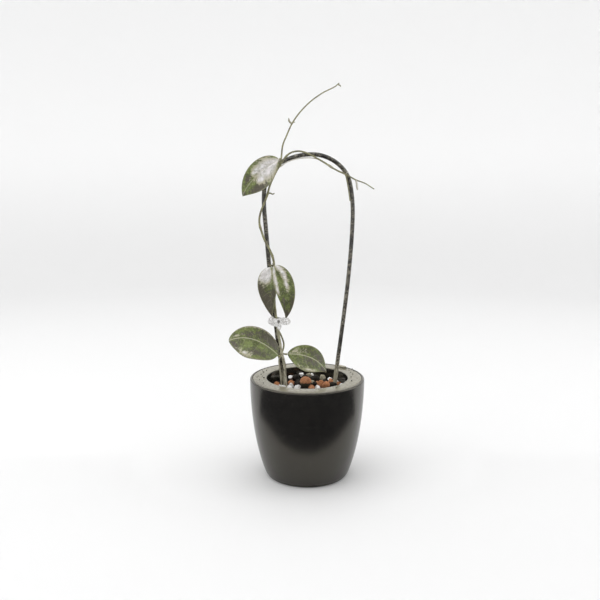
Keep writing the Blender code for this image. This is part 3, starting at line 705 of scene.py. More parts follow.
class Growth:
    """A Geometry Nodes tree that is built in code and applied to a mesh."""

    def __init__(self, name: str) -> None:
        """Starts the tree with a geometry input and output."""
        self.tree = bpy.data.node_groups.new(name, "GeometryNodeTree")
        self.tree.interface.new_socket(name="Geometry", in_out="INPUT", socket_type="NodeSocketGeometry")
        self.tree.interface.new_socket(name="Geometry", in_out="OUTPUT", socket_type="NodeSocketGeometry")
        self.start = self.tree.nodes.new("NodeGroupInput")
        self.end = self.tree.nodes.new("NodeGroupOutput")
        self.keys: dict[str, str] = {}

    def ask(self, name: str, kind: str) -> str:
        """Adds a named input of a kind such as Float, and returns its name."""
        socket = self.tree.interface.new_socket(name=name, in_out="INPUT", socket_type="NodeSocket" + kind)
        self.keys[name] = socket.identifier
        return name

    def given(self, name: str) -> bpy.types.NodeSocket:
        """The tree's own input of that name."""
        return self.start.outputs[name]

    def node(self, kind: str, settings: dict[str, object] | None = None,
             inputs: dict[str, object] | None = None) -> bpy.types.Node:
        """Adds a node with its options and inputs, and returns it."""
        item = self.tree.nodes.new(kind)
        for key, value in (settings or {}).items():
            setattr(item, key, value)
        for key, value in (inputs or {}).items():
            socket = item.inputs[key]
            if isinstance(value, bpy.types.NodeSocket):
                self.tree.links.new(value, socket)
            else:
                socket.default_value = value
        return item

    def named(self, name: str, kind: str) -> bpy.types.NodeSocket:
        """Reads an attribute of the input geometry."""
        return self.node("GeometryNodeInputNamedAttribute", {"data_type": kind}, {"Name": name}).outputs[
            "Attribute"]

    def close(self, geometry: bpy.types.NodeSocket, material: str) -> None:
        """Ends the tree: instances become real, and the material is set."""
        real = self.node("GeometryNodeRealizeInstances", None, {"Geometry": geometry})
        dressed = self.node("GeometryNodeSetMaterial", None,
                            {"Geometry": real.outputs[0], "Material": self.given(material)})
        self.tree.links.new(dressed.outputs[0], self.end.inputs[0])

    def grow(self, name: str, seed_mesh: bpy.types.Mesh, **inputs: object) -> bpy.types.Mesh:
        """Runs the tree on a mesh and returns the result as a plain mesh.

        Args:
            name: The result's name.
            seed_mesh: The mesh that goes into the tree.
            inputs: The tree's inputs by name, with _ for a space.

        Returns:
            The mesh that comes out.
        """
        holder = bpy.data.objects.new(name, seed_mesh)
        bpy.context.scene.collection.objects.link(holder)
        modifier = holder.modifiers.new("growth", "NODES")
        modifier.node_group = self.tree
        for key, value in inputs.items():
            modifier[self.keys[key.replace("_", " ")]] = value
        bpy.context.view_layer.update()
        graph = bpy.context.evaluated_depsgraph_get()
        mesh = bpy.data.meshes.new_from_object(holder.evaluated_get(graph), depsgraph=graph)
        holder.modifiers.clear()
        bpy.data.objects.remove(holder, do_unlink=True)
        mesh.name = name
        return mesh


def scatter_tree() -> Growth:
    """A tree that sets one of several grains on each point, by its kind, turn and size."""
    growth = Growth("grain scatter")
    growth.ask("Grains", "Collection")
    growth.ask("Finish", "Material")
    grains = growth.node("GeometryNodeCollectionInfo", None,
                         {"Collection": growth.given("Grains"), "Separate Children": True,
                          "Reset Children": True})
    turn = growth.node("FunctionNodeEulerToRotation", None, {"Euler": growth.named("turn", "FLOAT_VECTOR")})
    placed = growth.node("GeometryNodeInstanceOnPoints", None, {
        "Points": growth.given("Geometry"), "Instance": grains.outputs[0], "Pick Instance": True,
        "Instance Index": growth.named("kind", "INT"), "Rotation": turn.outputs[0],
        "Scale": growth.named("size", "FLOAT_VECTOR")})
    growth.close(placed.outputs[0], "Finish")
    return growth


def wart_tree() -> Growth:
    """A tree that strews small flat warts over a stem's skin."""
    growth = Growth("stem warts")
    growth.ask("Density", "Float")
    growth.ask("Size", "Float")
    growth.ask("Seed", "Int")
    growth.ask("Finish", "Material")
    spots = growth.node("GeometryNodeDistributePointsOnFaces", None,
                        {"Mesh": growth.given("Geometry"), "Density": growth.given("Density"),
                         "Seed": growth.given("Seed")})
    wart = growth.node("GeometryNodeMeshIcoSphere", None, {"Radius": 1.0, "Subdivisions": 1})
    flat = growth.node("FunctionNodeRandomValue", {"data_type": "FLOAT_VECTOR"},
                       {"Min": (0.7, 1.2, 0.35), "Max": (1.1, 2.2, 0.5), "Seed": growth.given("Seed")})
    size = growth.node("ShaderNodeVectorMath", {"operation": "SCALE"},
                       {"Vector": flat.outputs[0], "Scale": growth.given("Size")})
    placed = growth.node("GeometryNodeInstanceOnPoints", None, {
        "Points": spots.outputs["Points"], "Instance": wart.outputs["Mesh"],
        "Rotation": spots.outputs["Rotation"], "Scale": size.outputs[0]})
    smooth = growth.node("GeometryNodeSetShadeSmooth", None, {0: placed.outputs[0]})
    growth.close(smooth.outputs[0], "Finish")
    return growth


def wire_tree() -> Growth:
    """A tree that sweeps a round tube with flat ends along the edges of a mesh."""
    growth = Growth("bent tube")
    growth.ask("Radius", "Float")
    growth.ask("Spacing", "Float")
    growth.ask("Sides", "Int")
    growth.ask("Finish", "Material")
    line = growth.node("GeometryNodeMeshToCurve", None, {"Mesh": growth.given("Geometry")})
    even = growth.node("GeometryNodeResampleCurve", None, {"Curve": line.outputs[0]})
    if "Mode" in even.inputs:
        even.inputs["Mode"].default_value = "Length"
    else:
        even.mode = "LENGTH"
    growth.tree.links.new(growth.given("Spacing"), even.inputs["Length"])
    ring = growth.node("GeometryNodeCurvePrimitiveCircle", None,
                       {"Resolution": growth.given("Sides"), "Radius": growth.given("Radius")})
    tube = growth.node("GeometryNodeCurveToMesh", None,
                       {"Curve": even.outputs[0], "Profile Curve": ring.outputs[0], "Fill Caps": True})
    smooth = growth.node("GeometryNodeSetShadeSmooth", None, {0: tube.outputs[0]})
    growth.close(smooth.outputs[0], "Finish")
    return growth


# Pot and liner.

POT_HEIGHT = 114.0
POT_RADIUS = 65.0
RIM_ROUND = 2.2
COLLAR_DROP = 0.3
LIP_WIDTH = 2.7
GAP = 0.3


@dataclass
class PotShell:
    """The gloss outer pot: a turned cup with a ledge in its rim for the liner."""

    wall: float = 3.0
    floor: float = 3.2
    taper: float = 15.7
    tuck: float = 2.7
    base_round: float = 3.0
    collar_thick: float = 2.4
    ledge_width: float = 2.6
    steps: int = 192

    def side(self, height: float) -> float:
        """The outer radius at a height: an even taper that tucks in above the base."""
        top = POT_HEIGHT - RIM_ROUND
        drop = max(0.0, (top - height) / top)
        return POT_RADIUS - self.taper * drop ** 2 - self.tuck * drop ** 6

    def profile(self) -> Profile:
        """The cup's section from the inner floor, over the rim, to the underside."""
        seat = POT_RADIUS - LIP_WIDTH
        seat_z = POT_HEIGHT - COLLAR_DROP - self.collar_thick - GAP
        base = self.side(0.0) + 0.4
        points: Profile = [(0.0, self.floor), (self.side(self.floor) - self.wall - 2.0, self.floor)]
        count = 30
        for step in range(count + 1):
            height = self.floor + 3.0 + (seat_z - 6.0 - self.floor - 3.0) * step / count
            points.append((self.side(height) - self.wall, height))
        points += [(seat - self.ledge_width, seat_z), (seat, seat_z), (seat, POT_HEIGHT - 0.4)]
        points += arc((seat + 0.4, POT_HEIGHT - 0.4), 0.4, 180.0, 90.0, 4)
        points += arc((POT_RADIUS - RIM_ROUND, POT_HEIGHT - RIM_ROUND), RIM_ROUND, 90.0, 0.0, 10)
        count = 56
        for step in range(1, count + 1):
            height = POT_HEIGHT - RIM_ROUND + (4.0 - POT_HEIGHT + RIM_ROUND) * step / count
            points.append((self.side(height), height))
        points += arc((base - self.base_round, self.base_round), self.base_round, 0.0, -90.0, 8)
        points += [(base - self.base_round - 6.0, 0.0), (base - self.base_round - 7.5, 0.6),
                   (0.0, 0.6)]
        return points

    def build(self) -> None:
        """Builds and dresses the pot."""
        finish = GlossPlastic("pot gloss", tint("1a191a"), tint("201f1f"), 0.24, tint("9a9586"), 0.25,
                              tint("c8c2b2"), 1.3, 0.5, 0.04).make()
        mesh = turned_mesh("pot_gloss_shell", self.profile(), self.steps)
        item = add_piece("pot_gloss_shell", mesh, finish)
        mesh.set_sharp_from_angle(angle=math.radians(50.0))
        settle(item, "pot_shell", "pot_shell")


@dataclass
class PotLiner:
    """The drop-in liner: a broad collar round the opening, the basket below it and a lift grip."""

    thick: float = 2.4
    opening: float = 46.0
    opening_round: float = 1.2
    wall: float = 1.8
    floor: float = 30.0
    floor_radius: float = 36.0
    grip_angles: tuple[float, float] = (38.0, 54.0)
    grip_radii: tuple[float, float] = (56.0, 61.4)
    grip_rise: float = 2.4
    steps: int = 192
    crumbs: tuple[tuple[float, float, float], ...] = (
        (-49.0, -4.9, 2.0), (-50.6, 19.6, 1.6), (50.2, -0.7, 1.4), (49.6, -17.1, 1.7), (50.9, 18.5, 1.3),
        (53.9, 34.3, 1.4), (55.4, 25.1, 1.8), (-53.5, -13.0, 1.2), (-56.0, 3.0, 1.0), (-48.4, -26.0, 1.3),
        (12.0, -49.0, 1.0), (-22.0, -51.5, 1.1), (31.0, -44.0, 1.0), (-30.0, 49.0, 1.2), (4.0, 53.0, 1.3),
        (-53.0, 9.6, 1.5), (-57.0, -2.0, 1.1), (-51.4, 1.8, 1.0), (-47.6, 27.0, 1.4), (-52.2, 25.0, 1.0),
        (52.8, 8.8, 1.2), (56.6, -6.4, 1.0), (49.8, 28.2, 1.6), (47.0, 33.8, 1.1), (53.2, 13.2, 1.0),
    )

    def inside(self, height: float) -> float:
        """The inner radius at a height."""
        low = self.floor + self.wall
        high = POT_HEIGHT - COLLAR_DROP - self.opening_round
        return self.floor_radius + (self.opening - self.floor_radius) * (height - low) / (high - low)

    def profile(self) -> Profile:
        """The section from the inner floor, over the collar, to the underside."""
        top = POT_HEIGHT - COLLAR_DROP
        under = top - self.thick
        rim = POT_RADIUS - LIP_WIDTH - GAP
        low = self.floor + self.wall
        points: Profile = [(0.0, low), (self.floor_radius - 2.0, low), (self.inside(low + 2.0), low + 2.0)]
        points += [(self.inside(height), height) for height in (50.0, 70.0, 90.0, 100.0, 107.0)]
        points += arc((self.opening + self.opening_round, top - self.opening_round), self.opening_round,
                      180.0, 90.0, 8)
        points += arc((rim - 0.5, top - 0.5), 0.5, 90.0, 0.0, 4)
        points += [(rim, under), (self.opening + self.wall, under),
                   (self.inside(90.0) + self.wall, 90.0), (self.inside(low) + self.wall, low)]
        points += [(self.floor_radius - 2.0, self.floor), (0.0, self.floor)]
        return fine_profile(points, 4.0)

    def grip(self) -> bpy.types.Mesh:
        """The low lift grip: a curved bar with round ends and edges and a hollow along its top."""
        first, last = self.grip_angles
        inner, outer = self.grip_radii
        middle, half = 0.5 * (inner + outer), 0.5 * (outer - inner)
        top = POT_HEIGHT - COLLAR_DROP
        rows = []
        stations, ring = 40, 24
        for index in range(stations + 1):
            share = index / stations
            turn = math.radians(first + (last - first) * share)
            end = min(share, 1.0 - share) * (last - first) * math.pi / 180.0 * middle
            narrow = math.sqrt(min(1.0, max(0.0, 1.0 - (1.0 - min(end / half, 1.0)) ** 2)))
            row = []
            for step in range(ring):
                angle = math.tau * step / ring
                across = math.copysign(abs(math.cos(angle)) ** 0.55, math.cos(angle)) * half
                height = math.copysign(abs(math.sin(angle)) ** 0.55, math.sin(angle))
                rise = 0.5 * (self.grip_rise - 1.2) + 0.5 * (self.grip_rise + 1.2) * height
                dip = 0.35 * math.exp(-(across / (0.45 * half)) ** 2) if height > 0.5 else 0.0
                reach = middle + across * max(narrow, 0.02)
                place = Vector((reach * math.cos(turn), reach * math.sin(turn), top + rise - dip * narrow))
                row.append(place * MM)
            rows.append(row)
        return mend(grid_mesh("grip", rows))

    def build(self) -> None:
        """Builds and dresses the liner and its lift grip."""
        finish = GlossPlastic("liner gloss", tint("1d1c19"), tint("24221e"), 0.13, tint("b9b39b"), 0.50,
                              tint("45413a"), 1.3, 0.7, 0.03, dulling=0.08).make()
        mesh = turned_mesh("liner_collar", self.profile(), self.steps)
        item = add_piece("liner_collar", mesh, finish)
        mesh.set_sharp_from_angle(angle=math.radians(50.0))
        settle(item, "pot_liner", "pot_liner")
        # Painted reflection: the grip's pale grey base stands in for the bright reflection on its top, with
        # lime film over it.
        sheen_and_lime = GlossPlastic("limed grip", tint("6f6b5c"), tint("5c584b"), 0.2, tint("b3ad97"), 0.7,
                             tint("45413a"), 1.6, 0.8, 0.03, dulling=0.08).make()
        settle(add_piece("liner_grip", self.grip(), sheen_and_lime), "pot_liner", "pot_liner")

    def build_crumbs(self, grains: GrainSet, scatter: Growth) -> None:
        """Strews the dark crumbs of gravel over the collar.

        Args:
            grains: The grain shapes.
            scatter: The scatter tree.
        """
        draw = random.Random(SEED + 5)
        spots = [Grain(Vector((x, y, POT_HEIGHT - COLLAR_DROP + 0.25 * size)), 0.5 * size, draw.random())
                 for x, y, size in self.crumbs]
        finish = Stone("dark crumb", tint("2e2923"), tint("1d1a17"), tint("0f0d0c"), 0.6, 0.1, 0.7).make()
        mesh = scatter.grow("collar_crumbs", grain_points(spots, draw),
                            Grains=grains.collections[Cut.CRUSHED],
                            Finish=finish)
        item = add_piece("collar_crumbs", mesh)
        settle(item, "gravel")


# Gravel.


class Cut(Enum):
    """How a grain is shaped."""

    CRUSHED = "crushed"
    ROUNDED = "rounded"


@dataclass
class Grain:
    """One grain: its middle, its radius in millimetres and its own shade from 0 to 1."""

    place: Vector
    radius: float
    tone: float
    flat: float = 0.85


def grain_points(grains: Sequence[Grain], draw: random.Random) -> bpy.types.Mesh:
    """Makes the point mesh that the scatter tree reads.

    Args:
        grains: The grains to place.
        draw: The seeded random source for their turns and kinds.

    Returns:
        A mesh of loose points with turn, size, kind and tone.
    """
    mesh = bpy.data.meshes.new("grain points")
    mesh.from_pydata([grain.place * MM for grain in grains], [], [])
    turns, sizes, kinds = [], [], []
    for grain in grains:
        turns += [draw.uniform(-0.5, 0.5), draw.uniform(-0.5, 0.5), draw.uniform(0.0, math.tau)]
        size = grain.radius * MM
        sizes += [size, size * draw.uniform(0.82, 1.0), size * grain.flat]
        kinds.append(draw.randrange(GrainSet.variants))
    mesh.attributes.new("turn", "FLOAT_VECTOR", "POINT").data.foreach_set("vector", turns)
    mesh.attributes.new("size", "FLOAT_VECTOR", "POINT").data.foreach_set("vector", sizes)
    mesh.attributes.new("kind", "INT", "POINT").data.foreach_set("value", kinds)
    set_values(mesh, "tone", [grain.tone for grain in grains])
    return mesh


class GrainSet:
    """The grain shapes, each cut in several variants in a hidden collection."""

    variants = 4

    def __init__(self) -> None:
        """Makes every variant of every cut."""
        self.collections: dict[Cut, bpy.types.Collection] = {}
        for cut in Cut:
            group = bpy.data.collections.new(cut.value + " grains")
            for number in range(self.variants):
                item = bpy.data.objects.new(f"{cut.value} {number}", self.shape(cut, number))
                group.objects.link(item)
            self.collections[cut] = group

    @staticmethod
    def shape(cut: Cut, number: int) -> bpy.types.Mesh:
        """Makes one grain of radius 1 by cutting a fine ball with flats and pitting it.

        Args:
            cut: How it is shaped.
            number: Which variant it is.

        Returns:
            The mesh.
        """
        draw = random.Random(100 * list(Cut).index(cut) + number + SEED)
        count, least, most = (11, 0.62, 0.86) if cut is Cut.CRUSHED else (7, 0.78, 0.95)
        flats = []
        for _ in range(count):
            normal = Vector((draw.gauss(0, 1), draw.gauss(0, 1), draw.gauss(0, 1))).normalized()
            flats.append((normal, draw.uniform(least, most)))
        shift = Vector((draw.uniform(0, 50), draw.uniform(0, 50), draw.uniform(0, 50)))
        work = bmesh.new()
        bmesh.ops.create_icosphere(work, subdivisions=4, radius=1.0)
        for vert in work.verts:
            way = vert.co.normalized()
            reach = 1.0
            for normal, depth in flats:
                facing = way.dot(normal)
                if facing > 0.05:
                    reach = min(reach, depth / facing)
            rough = noise.fractal(way * 2.1 + shift, 0.8, 2.0, 4)
            pits = smooth_step(noise.noise(way * 4.6 + shift), 0.18, 0.42)
            fine = smooth_step(noise.noise(way * 9.0 + shift * 1.7), 0.20, 0.45)
            reach *= 1.0 + 0.05 * rough - 0.085 * pits - 0.035 * fine
            vert.co = way * reach
        mesh = bpy.data.meshes.new(f"{cut.value} grain {number}")
        work.to_mesh(mesh)
        work.free()
        mesh.shade_smooth()
        return mesh


class Sort(Enum):
    """The sorts of grain in the mix."""

    LAVA = "lava"
    PUMICE = "pumice"
    BROWN = "brown"
    BEIGE = "beige"


@dataclass
class GravelBed:
    """The mixed gravel: a near-black core, painted shade for the gaps between the grains, and several sorts
    of grain heaped over it.
    """

    liner: PotLiner
    edge_z: float = 96.0                # height of the packed gravel at the liner's wall
    mound: float = 4.5
    mound_width: float = 24.0
    centre_lift: float = 3.6
    spread: float = 43.0
    shown: tuple[tuple[Sort, float, float, float], ...] = (
        (Sort.LAVA, -19.4, 9.0, 3.6), (Sort.LAVA, 15.6, -1.0, 6.4), (Sort.LAVA, 28.4, 17.0, 6.2),
        (Sort.LAVA, 5.0, -14.6, 3.8), (Sort.LAVA, -35.5, 10.0, 4.2), (Sort.LAVA, -25.2, -7.6, 2.6),
        (Sort.LAVA, -13.0, 36.0, 3.0), (Sort.LAVA, 36.0, 13.0, 4.0), (Sort.LAVA, 23.4, 9.4, 3.4),
        (Sort.PUMICE, -18.8, 32.0, 3.6), (Sort.PUMICE, -18.4, -5.4, 4.4), (Sort.PUMICE, -10.8, -13.6, 4.2),
        (Sort.PUMICE, 11.4, -10.6, 3.2), (Sort.PUMICE, 27.4, 29.4, 3.4), (Sort.PUMICE, -31.8, -1.6, 3.8),
        (Sort.PUMICE, 35.4, 21.6, 3.4), (Sort.PUMICE, -6.0, 39.0, 3.6), (Sort.PUMICE, 40.0, 4.0, 3.4),
        (Sort.BEIGE, 18.6, 32.0, 4.8), (Sort.BEIGE, 2.2, 34.0, 3.8), (Sort.BROWN, -13.0, 28.6, 4.6),
        (Sort.BROWN, 10.6, 22.0, 4.6), (Sort.BROWN, -2.4, 24.0, 4.6), (Sort.BROWN, 25.0, 2.0, 4.4),
        (Sort.BROWN, -40.0, 2.0, 3.6), (Sort.BROWN, 31.0, 6.0, 3.6),
    )
    perched: tuple[tuple[Sort, Place, float], ...] = (      # grains on top of the others at the front
        (Sort.PUMICE, (-27.4, -20.4, 107.6), 4.0), (Sort.PUMICE, (-19.6, -22.0, 107.4), 3.8),
        (Sort.PUMICE, (-12.6, -22.4, 106.8), 3.6), (Sort.LAVA, (-34.6, -13.6, 106.8), 3.4),
        (Sort.LAVA, (5.4, -21.0, 106.4), 3.6), (Sort.PUMICE, (12.4, -20.6, 106.6), 3.2),
        (Sort.LAVA, (21.0, -11.0, 107.4), 4.6), (Sort.LAVA, (-18.4, -1.0, 106.6), 3.9),
        (Sort.BROWN, (28.6, -4.0, 105.6), 3.8),
    )
    layers: tuple[tuple[float, float, int], ...] = (        # depth, how closely it packs, tries
        (2.2, 0.88, 900), (5.6, 0.80, 1400), (1.0, 0.9, 500),
    )
    ball_front: tuple[Place, Place] = ((-11.0, -28.0, 100.5), (13.0, 2.0, 200.0))   # kept clear of grains
    stem_clear: float = 2.6             # least distance from a leg's or stem's middle
    finishes: dict[Sort, Stone] = field(default_factory=lambda: {
        Sort.LAVA: Stone("terracotta lava", tint("cb926c"), tint("ad7048"), tint("50301f"), 1.3, 0.5, 0.6,
                         stain=tint("7d5239"), stain_share=0.25),
        Sort.PUMICE: Stone("white pumice", tint("ffffff"), tint("f0eeeb"), tint("b5b0a6"), 1.2, 0.4, 0.35,
                           stain=tint("d6d0c5"), stain_share=0.15),
        Sort.BROWN: Stone("brown clay grain", tint("423d33"), tint("1a1816"), tint("0a0909"), 1.3, 0.4, 0.8),
        Sort.BEIGE: Stone("beige stone", tint("b9b09b"), tint("86806d"), tint("4a463b"), 1.8, 0.25, 0.4,
                          stain=tint("6d6a58"), stain_share=0.4),
    })

    def surface(self, x: float) -> float:
        """Height of the grains' middles at a distance x: the gravel is heaped in a ridge."""
        return self.edge_z + self.centre_lift + 1.6 + self.mound * math.exp(-(x / self.mound_width) ** 2)

    def core(self) -> bpy.types.Mesh:
        """The packed gravel below the top grains, as one turned body with a lumpy top, near black as painted
        shade in the gaps.
        """
        low = self.liner.floor + self.liner.wall + GAP
        profile: Profile = [(0.0, self.edge_z + 2.6), (22.0, self.edge_z + 1.6)]
        profile += [(self.liner.inside(height) - GAP, height) for height in (self.edge_z, 76.0, 54.0)]
        profile += [(self.liner.inside(low + 2.0) - GAP, low + 2.0), (self.liner.floor_radius - 3.0, low),
                    (0.0, low)]
        mesh = turned_mesh("gravel_core", fine_profile(profile, 2.5), 96)
        for vert in mesh.vertices:
            if vert.co.z > (self.edge_z - 1.0) * MM:
                vert.co.z += 0.9 * MM * noise.noise(vert.co * 300.0)
        set_values(mesh, "tone", [0.3] * len(mesh.vertices))
        return mesh

    def fill(self) -> dict[Sort, list[Grain]]:
        """Places the grains: those that show first, then others in the gaps and a layer below.

        Returns:
            The grains of each sort.
        """
        draw = random.Random(SEED)
        taken: list[Grain] = []
        sorts: dict[Sort, list[Grain]] = {sort: [] for sort in Sort}
        stems = [on_hoop(place).to_2d() for place in ((-26.4, 0.0, 106.5), (35.0, 0.0, 106.0),
                                                      (-28.0, 5.3, 104.0), (-31.2, 1.0, 104.0))]

        def free(place: Vector, radius: float, snug: float) -> bool:
            least, most = self.ball_front
            if all(low < value < high for low, value, high in zip(least, place, most)):
                return False
            if (place - Vector(BALL_CENTRE)).length < BALL_RADIUS + snug * radius:
                return False
            if any((place.to_2d() - stem).length < self.stem_clear + 0.75 * radius for stem in stems):
                return False
            return all((place - other.place).length > snug * (radius + other.radius) for other in taken)

        def lay(sort: Sort, grain: Grain) -> None:
            taken.append(grain)
            sorts[sort].append(grain)

        for sort, x, y, radius in self.shown:
            height = self.surface(x) + draw.uniform(-0.6, 0.6)
            lay(sort, Grain(Vector((x, y, height)), radius, draw.random()))
        for sort, place, radius in self.perched:
            lay(sort, Grain(Vector(place), radius, draw.random()))
        dull = [Sort.BROWN] * 5
        mix = dull + [Sort.LAVA] * 3 + [Sort.PUMICE] * 2 + [Sort.BEIGE]
        for sunk, snug, tries in self.layers:
            for _ in range(tries):
                radius = draw.uniform(2.6, 5.0)
                reach = (self.spread - radius) * math.sqrt(draw.random())
                turn = draw.uniform(0.0, math.tau)
                x, y = reach * math.cos(turn), reach * math.sin(turn)
                place = Vector((x, y, self.surface(x) - sunk + draw.uniform(-0.8, 0.8)))
                # Deep grains where the gravel shows are mostly the dark brown sort: painted shade under the
                # top grains.
                seen = abs(x) < 40.0 and -26.0 < y < 36.0
                sort = draw.choice(dull if seen and sunk > 1.5 and draw.random() < 0.75 else mix)
                if free(place, radius, snug):
                    lay(sort, Grain(place, radius, draw.random()))
        return sorts

    def build(self, grains: GrainSet, scatter: Growth) -> None:
        """Builds and dresses the gravel, one piece for each sort.

        Args:
            grains: The grain shapes.
            scatter: The scatter tree.
        """
        draw = random.Random(SEED + 1)
        cuts = {sort: Cut.ROUNDED if sort is Sort.BROWN else Cut.CRUSHED for sort in Sort}
        # Painted shade: the core is near black, standing for the shade in the gaps between the grains.
        packed = Stone("packed gravel", tint("2c2621"), tint("171412"), tint("0b0908"), 2.6, 0.9, 0.9).make()
        settle(add_piece("gravel_core", self.core(), packed), "gravel", "gravel_bed")
        for sort, placed in self.fill().items():
            mesh = scatter.grow(f"gravel_{sort.value}", grain_points(placed, draw),
                                Grains=grains.collections[cuts[sort]], Finish=self.finishes[sort].make())
            settle(add_piece(f"gravel_{sort.value}", mesh), "gravel", "gravel_bed")


BALL_CENTRE: Place = (-1.6, -6.0, 109.4)
BALL_RADIUS = 6.9


@dataclass
class ClayBall:
    """The one round fired clay ball, with a rough cracked skin, painted shade over its lower part and painted
    shade in its pores.
    """

    squash: float = 0.94
    least: float = 0.955        # share of the radius on the plain skin
    rough: float = 0.028
    pit: float = 0.05
    shade_below: float = 111.0   # painted shade: the ball is painted dark olive below about this height, orange above
    steps: int = 6

    def build(self) -> None:
        """Builds and dresses the ball."""
        work = bmesh.new()
        bmesh.ops.create_icosphere(work, subdivisions=self.steps, radius=1.0)
        for vert in work.verts:
            way = vert.co.normalized()
            rough = noise.fractal(way * 3.0 + Vector((7.0, 3.0, 1.0)), 0.7, 2.0, 5)
            pits = smooth_step(noise.noise(way * 8.0), 0.24, 0.5)
            reach = BALL_RADIUS * (self.least + self.rough * rough - self.pit * pits)
            vert.co = (Vector((way.x, way.y, way.z * self.squash)) * reach + Vector(BALL_CENTRE)) * MM
        mesh = bpy.data.meshes.new("clay_ball_fired")
        work.to_mesh(mesh)
        work.free()
        finish = Finish("fired clay")
        shade = finish.rise(finish.cloud(2.2, 7.0, roughness=0.66), 0.36, 0.64)
        pores = finish.rise(finish.cells(0.95), 0.36, 0.14, 0.75)
        body = finish.blend(shade, tint("b87d54"), tint("d2966f"))
        lower = finish.plus(finish.along("Z"), finish.times(finish.cloud(3.2, 4.0), 0.005))
        fired = finish.rise(lower, self.shade_below * MM, (self.shade_below + 1.9) * MM)
        # Painted shade: the lower part of the ball is painted dark olive.
        body = finish.blend(fired, tint("44402f"), body)
        # Painted shade: the pores are painted dark.
        body = finish.blend(pores, body, tint("33221a"))
        bump = finish.relief(finish.less(1.0, pores), 0.35, 0.9,
                             finish.relief(finish.cloud(0.5, 4.0), 0.15, 0.6))
        settle(add_piece("clay_ball_fired", mesh, finish.wear(Base_Color=body, Roughness=0.9, Normal=bump)),
               "fired_clay", "clay_ball")


# Hoop and vine.

HOOP_TURN = math.radians(20.8)
HOOP_RADIUS = 2.4
HOOP_ROUTE = (
    (-18.6, 60.0), (-22.5, 84.0), (-26.4, 106.5), (-29.9, 127.0), (-33.7, 147.0), (-36.8, 172.0),
    (-40.6, 199.0), (-44.4, 241.0), (-47.9, 282.0), (-50.0, 312.0), (-48.4, 331.0), (-41.8, 346.0),
    (-30.8, 353.6), (-14.0, 360.0), (-2.3, 362.2), (9.4, 362.6), (21.2, 360.3), (33.2, 354.8),
    (43.0, 346.7), (49.0, 337.5), (52.6, 324.0), (54.7, 304.0), (54.0, 273.0), (50.4, 227.0),
    (47.2, 199.0), (44.0, 174.0), (41.2, 153.0), (38.8, 136.0), (36.8, 121.0), (35.0, 106.0),
    (32.8, 84.0), (30.4, 60.0),
)


def on_hoop(place: Sequence[float]) -> Vector:
    """Turns a place in the hoop's plane (along, out to the front, height) into (x, y, z)."""
    along, out, height = place
    return Vector((
        along * math.cos(HOOP_TURN) + out * math.sin(HOOP_TURN),
        along * math.sin(HOOP_TURN) - out * math.cos(HOOP_TURN),
        height,
    ))


@dataclass
class SupportHoop:
    """The bent coated tube that carries the vine."""

    spacing: float = 1.6
    sides: int = 28

    def build(self) -> None:
        """Builds and dresses the hoop."""
        route = [on_hoop(place) * MM
                 for place in smooth_route([(along, 0.0, height) for along, height in HOOP_ROUTE], 2.0)]
        line = bpy.data.meshes.new("hoop line")
        line.from_pydata(route, [(index, index + 1) for index in range(len(route) - 1)], [])
        finish = CoatedWire("hoop coating", tint("242221"), tint("8a8472"), tint("dedad0"),
                            tint("b3ae99")).make()
        mesh = wire_tree().grow("hoop_tube", line, Radius=HOOP_RADIUS * MM, Spacing=self.spacing * MM,
                                Sides=self.sides, Finish=finish)
        settle(add_piece("hoop_tube", mesh), "hoop", "support_hoop")


LOW_NODE: Place = (-32.3, 4.6, 145.1)
MIDDLE_NODE: Place = (-40.7, 4.5, 242.3)
TOP_NODE: Place = (-33.0, 4.7, 350.8)
STUB_JOINT: Place = (-46.8, 3.9, 321.2)
SHOULDER: Place = (43.4, 4.0, 342.0)
VINE_TIP: Place = (49.3, 3.5, 339.0)


@dataclass(frozen=True)
class Shoot:
    """A thin shoot in the hoop's plane: its route, its radius at both ends and the age of its skin."""

    name: str
    route: tuple[Place, ...]
    start: float
    end: float
    age: float = 0.12

    def mesh(self, sides: int, skin: Skin, cap_rings: int) -> bpy.types.Mesh:
        """Sweeps the shoot, tapering evenly.

        Args:
            sides: How many sides it has.
            skin: The relief of its skin.
            cap_rings: How many rings round each end off.

        Returns:
            The mesh.
        """
        route = [on_hoop(place) for place in smooth_route(self.route, 0.8)]

        def radius(share: float) -> float:
            return self.start + (self.end - self.start) * share

        return Sweep(route, radius, sides, skin, cap_rings, lambda share: self.age).mesh(self.name)


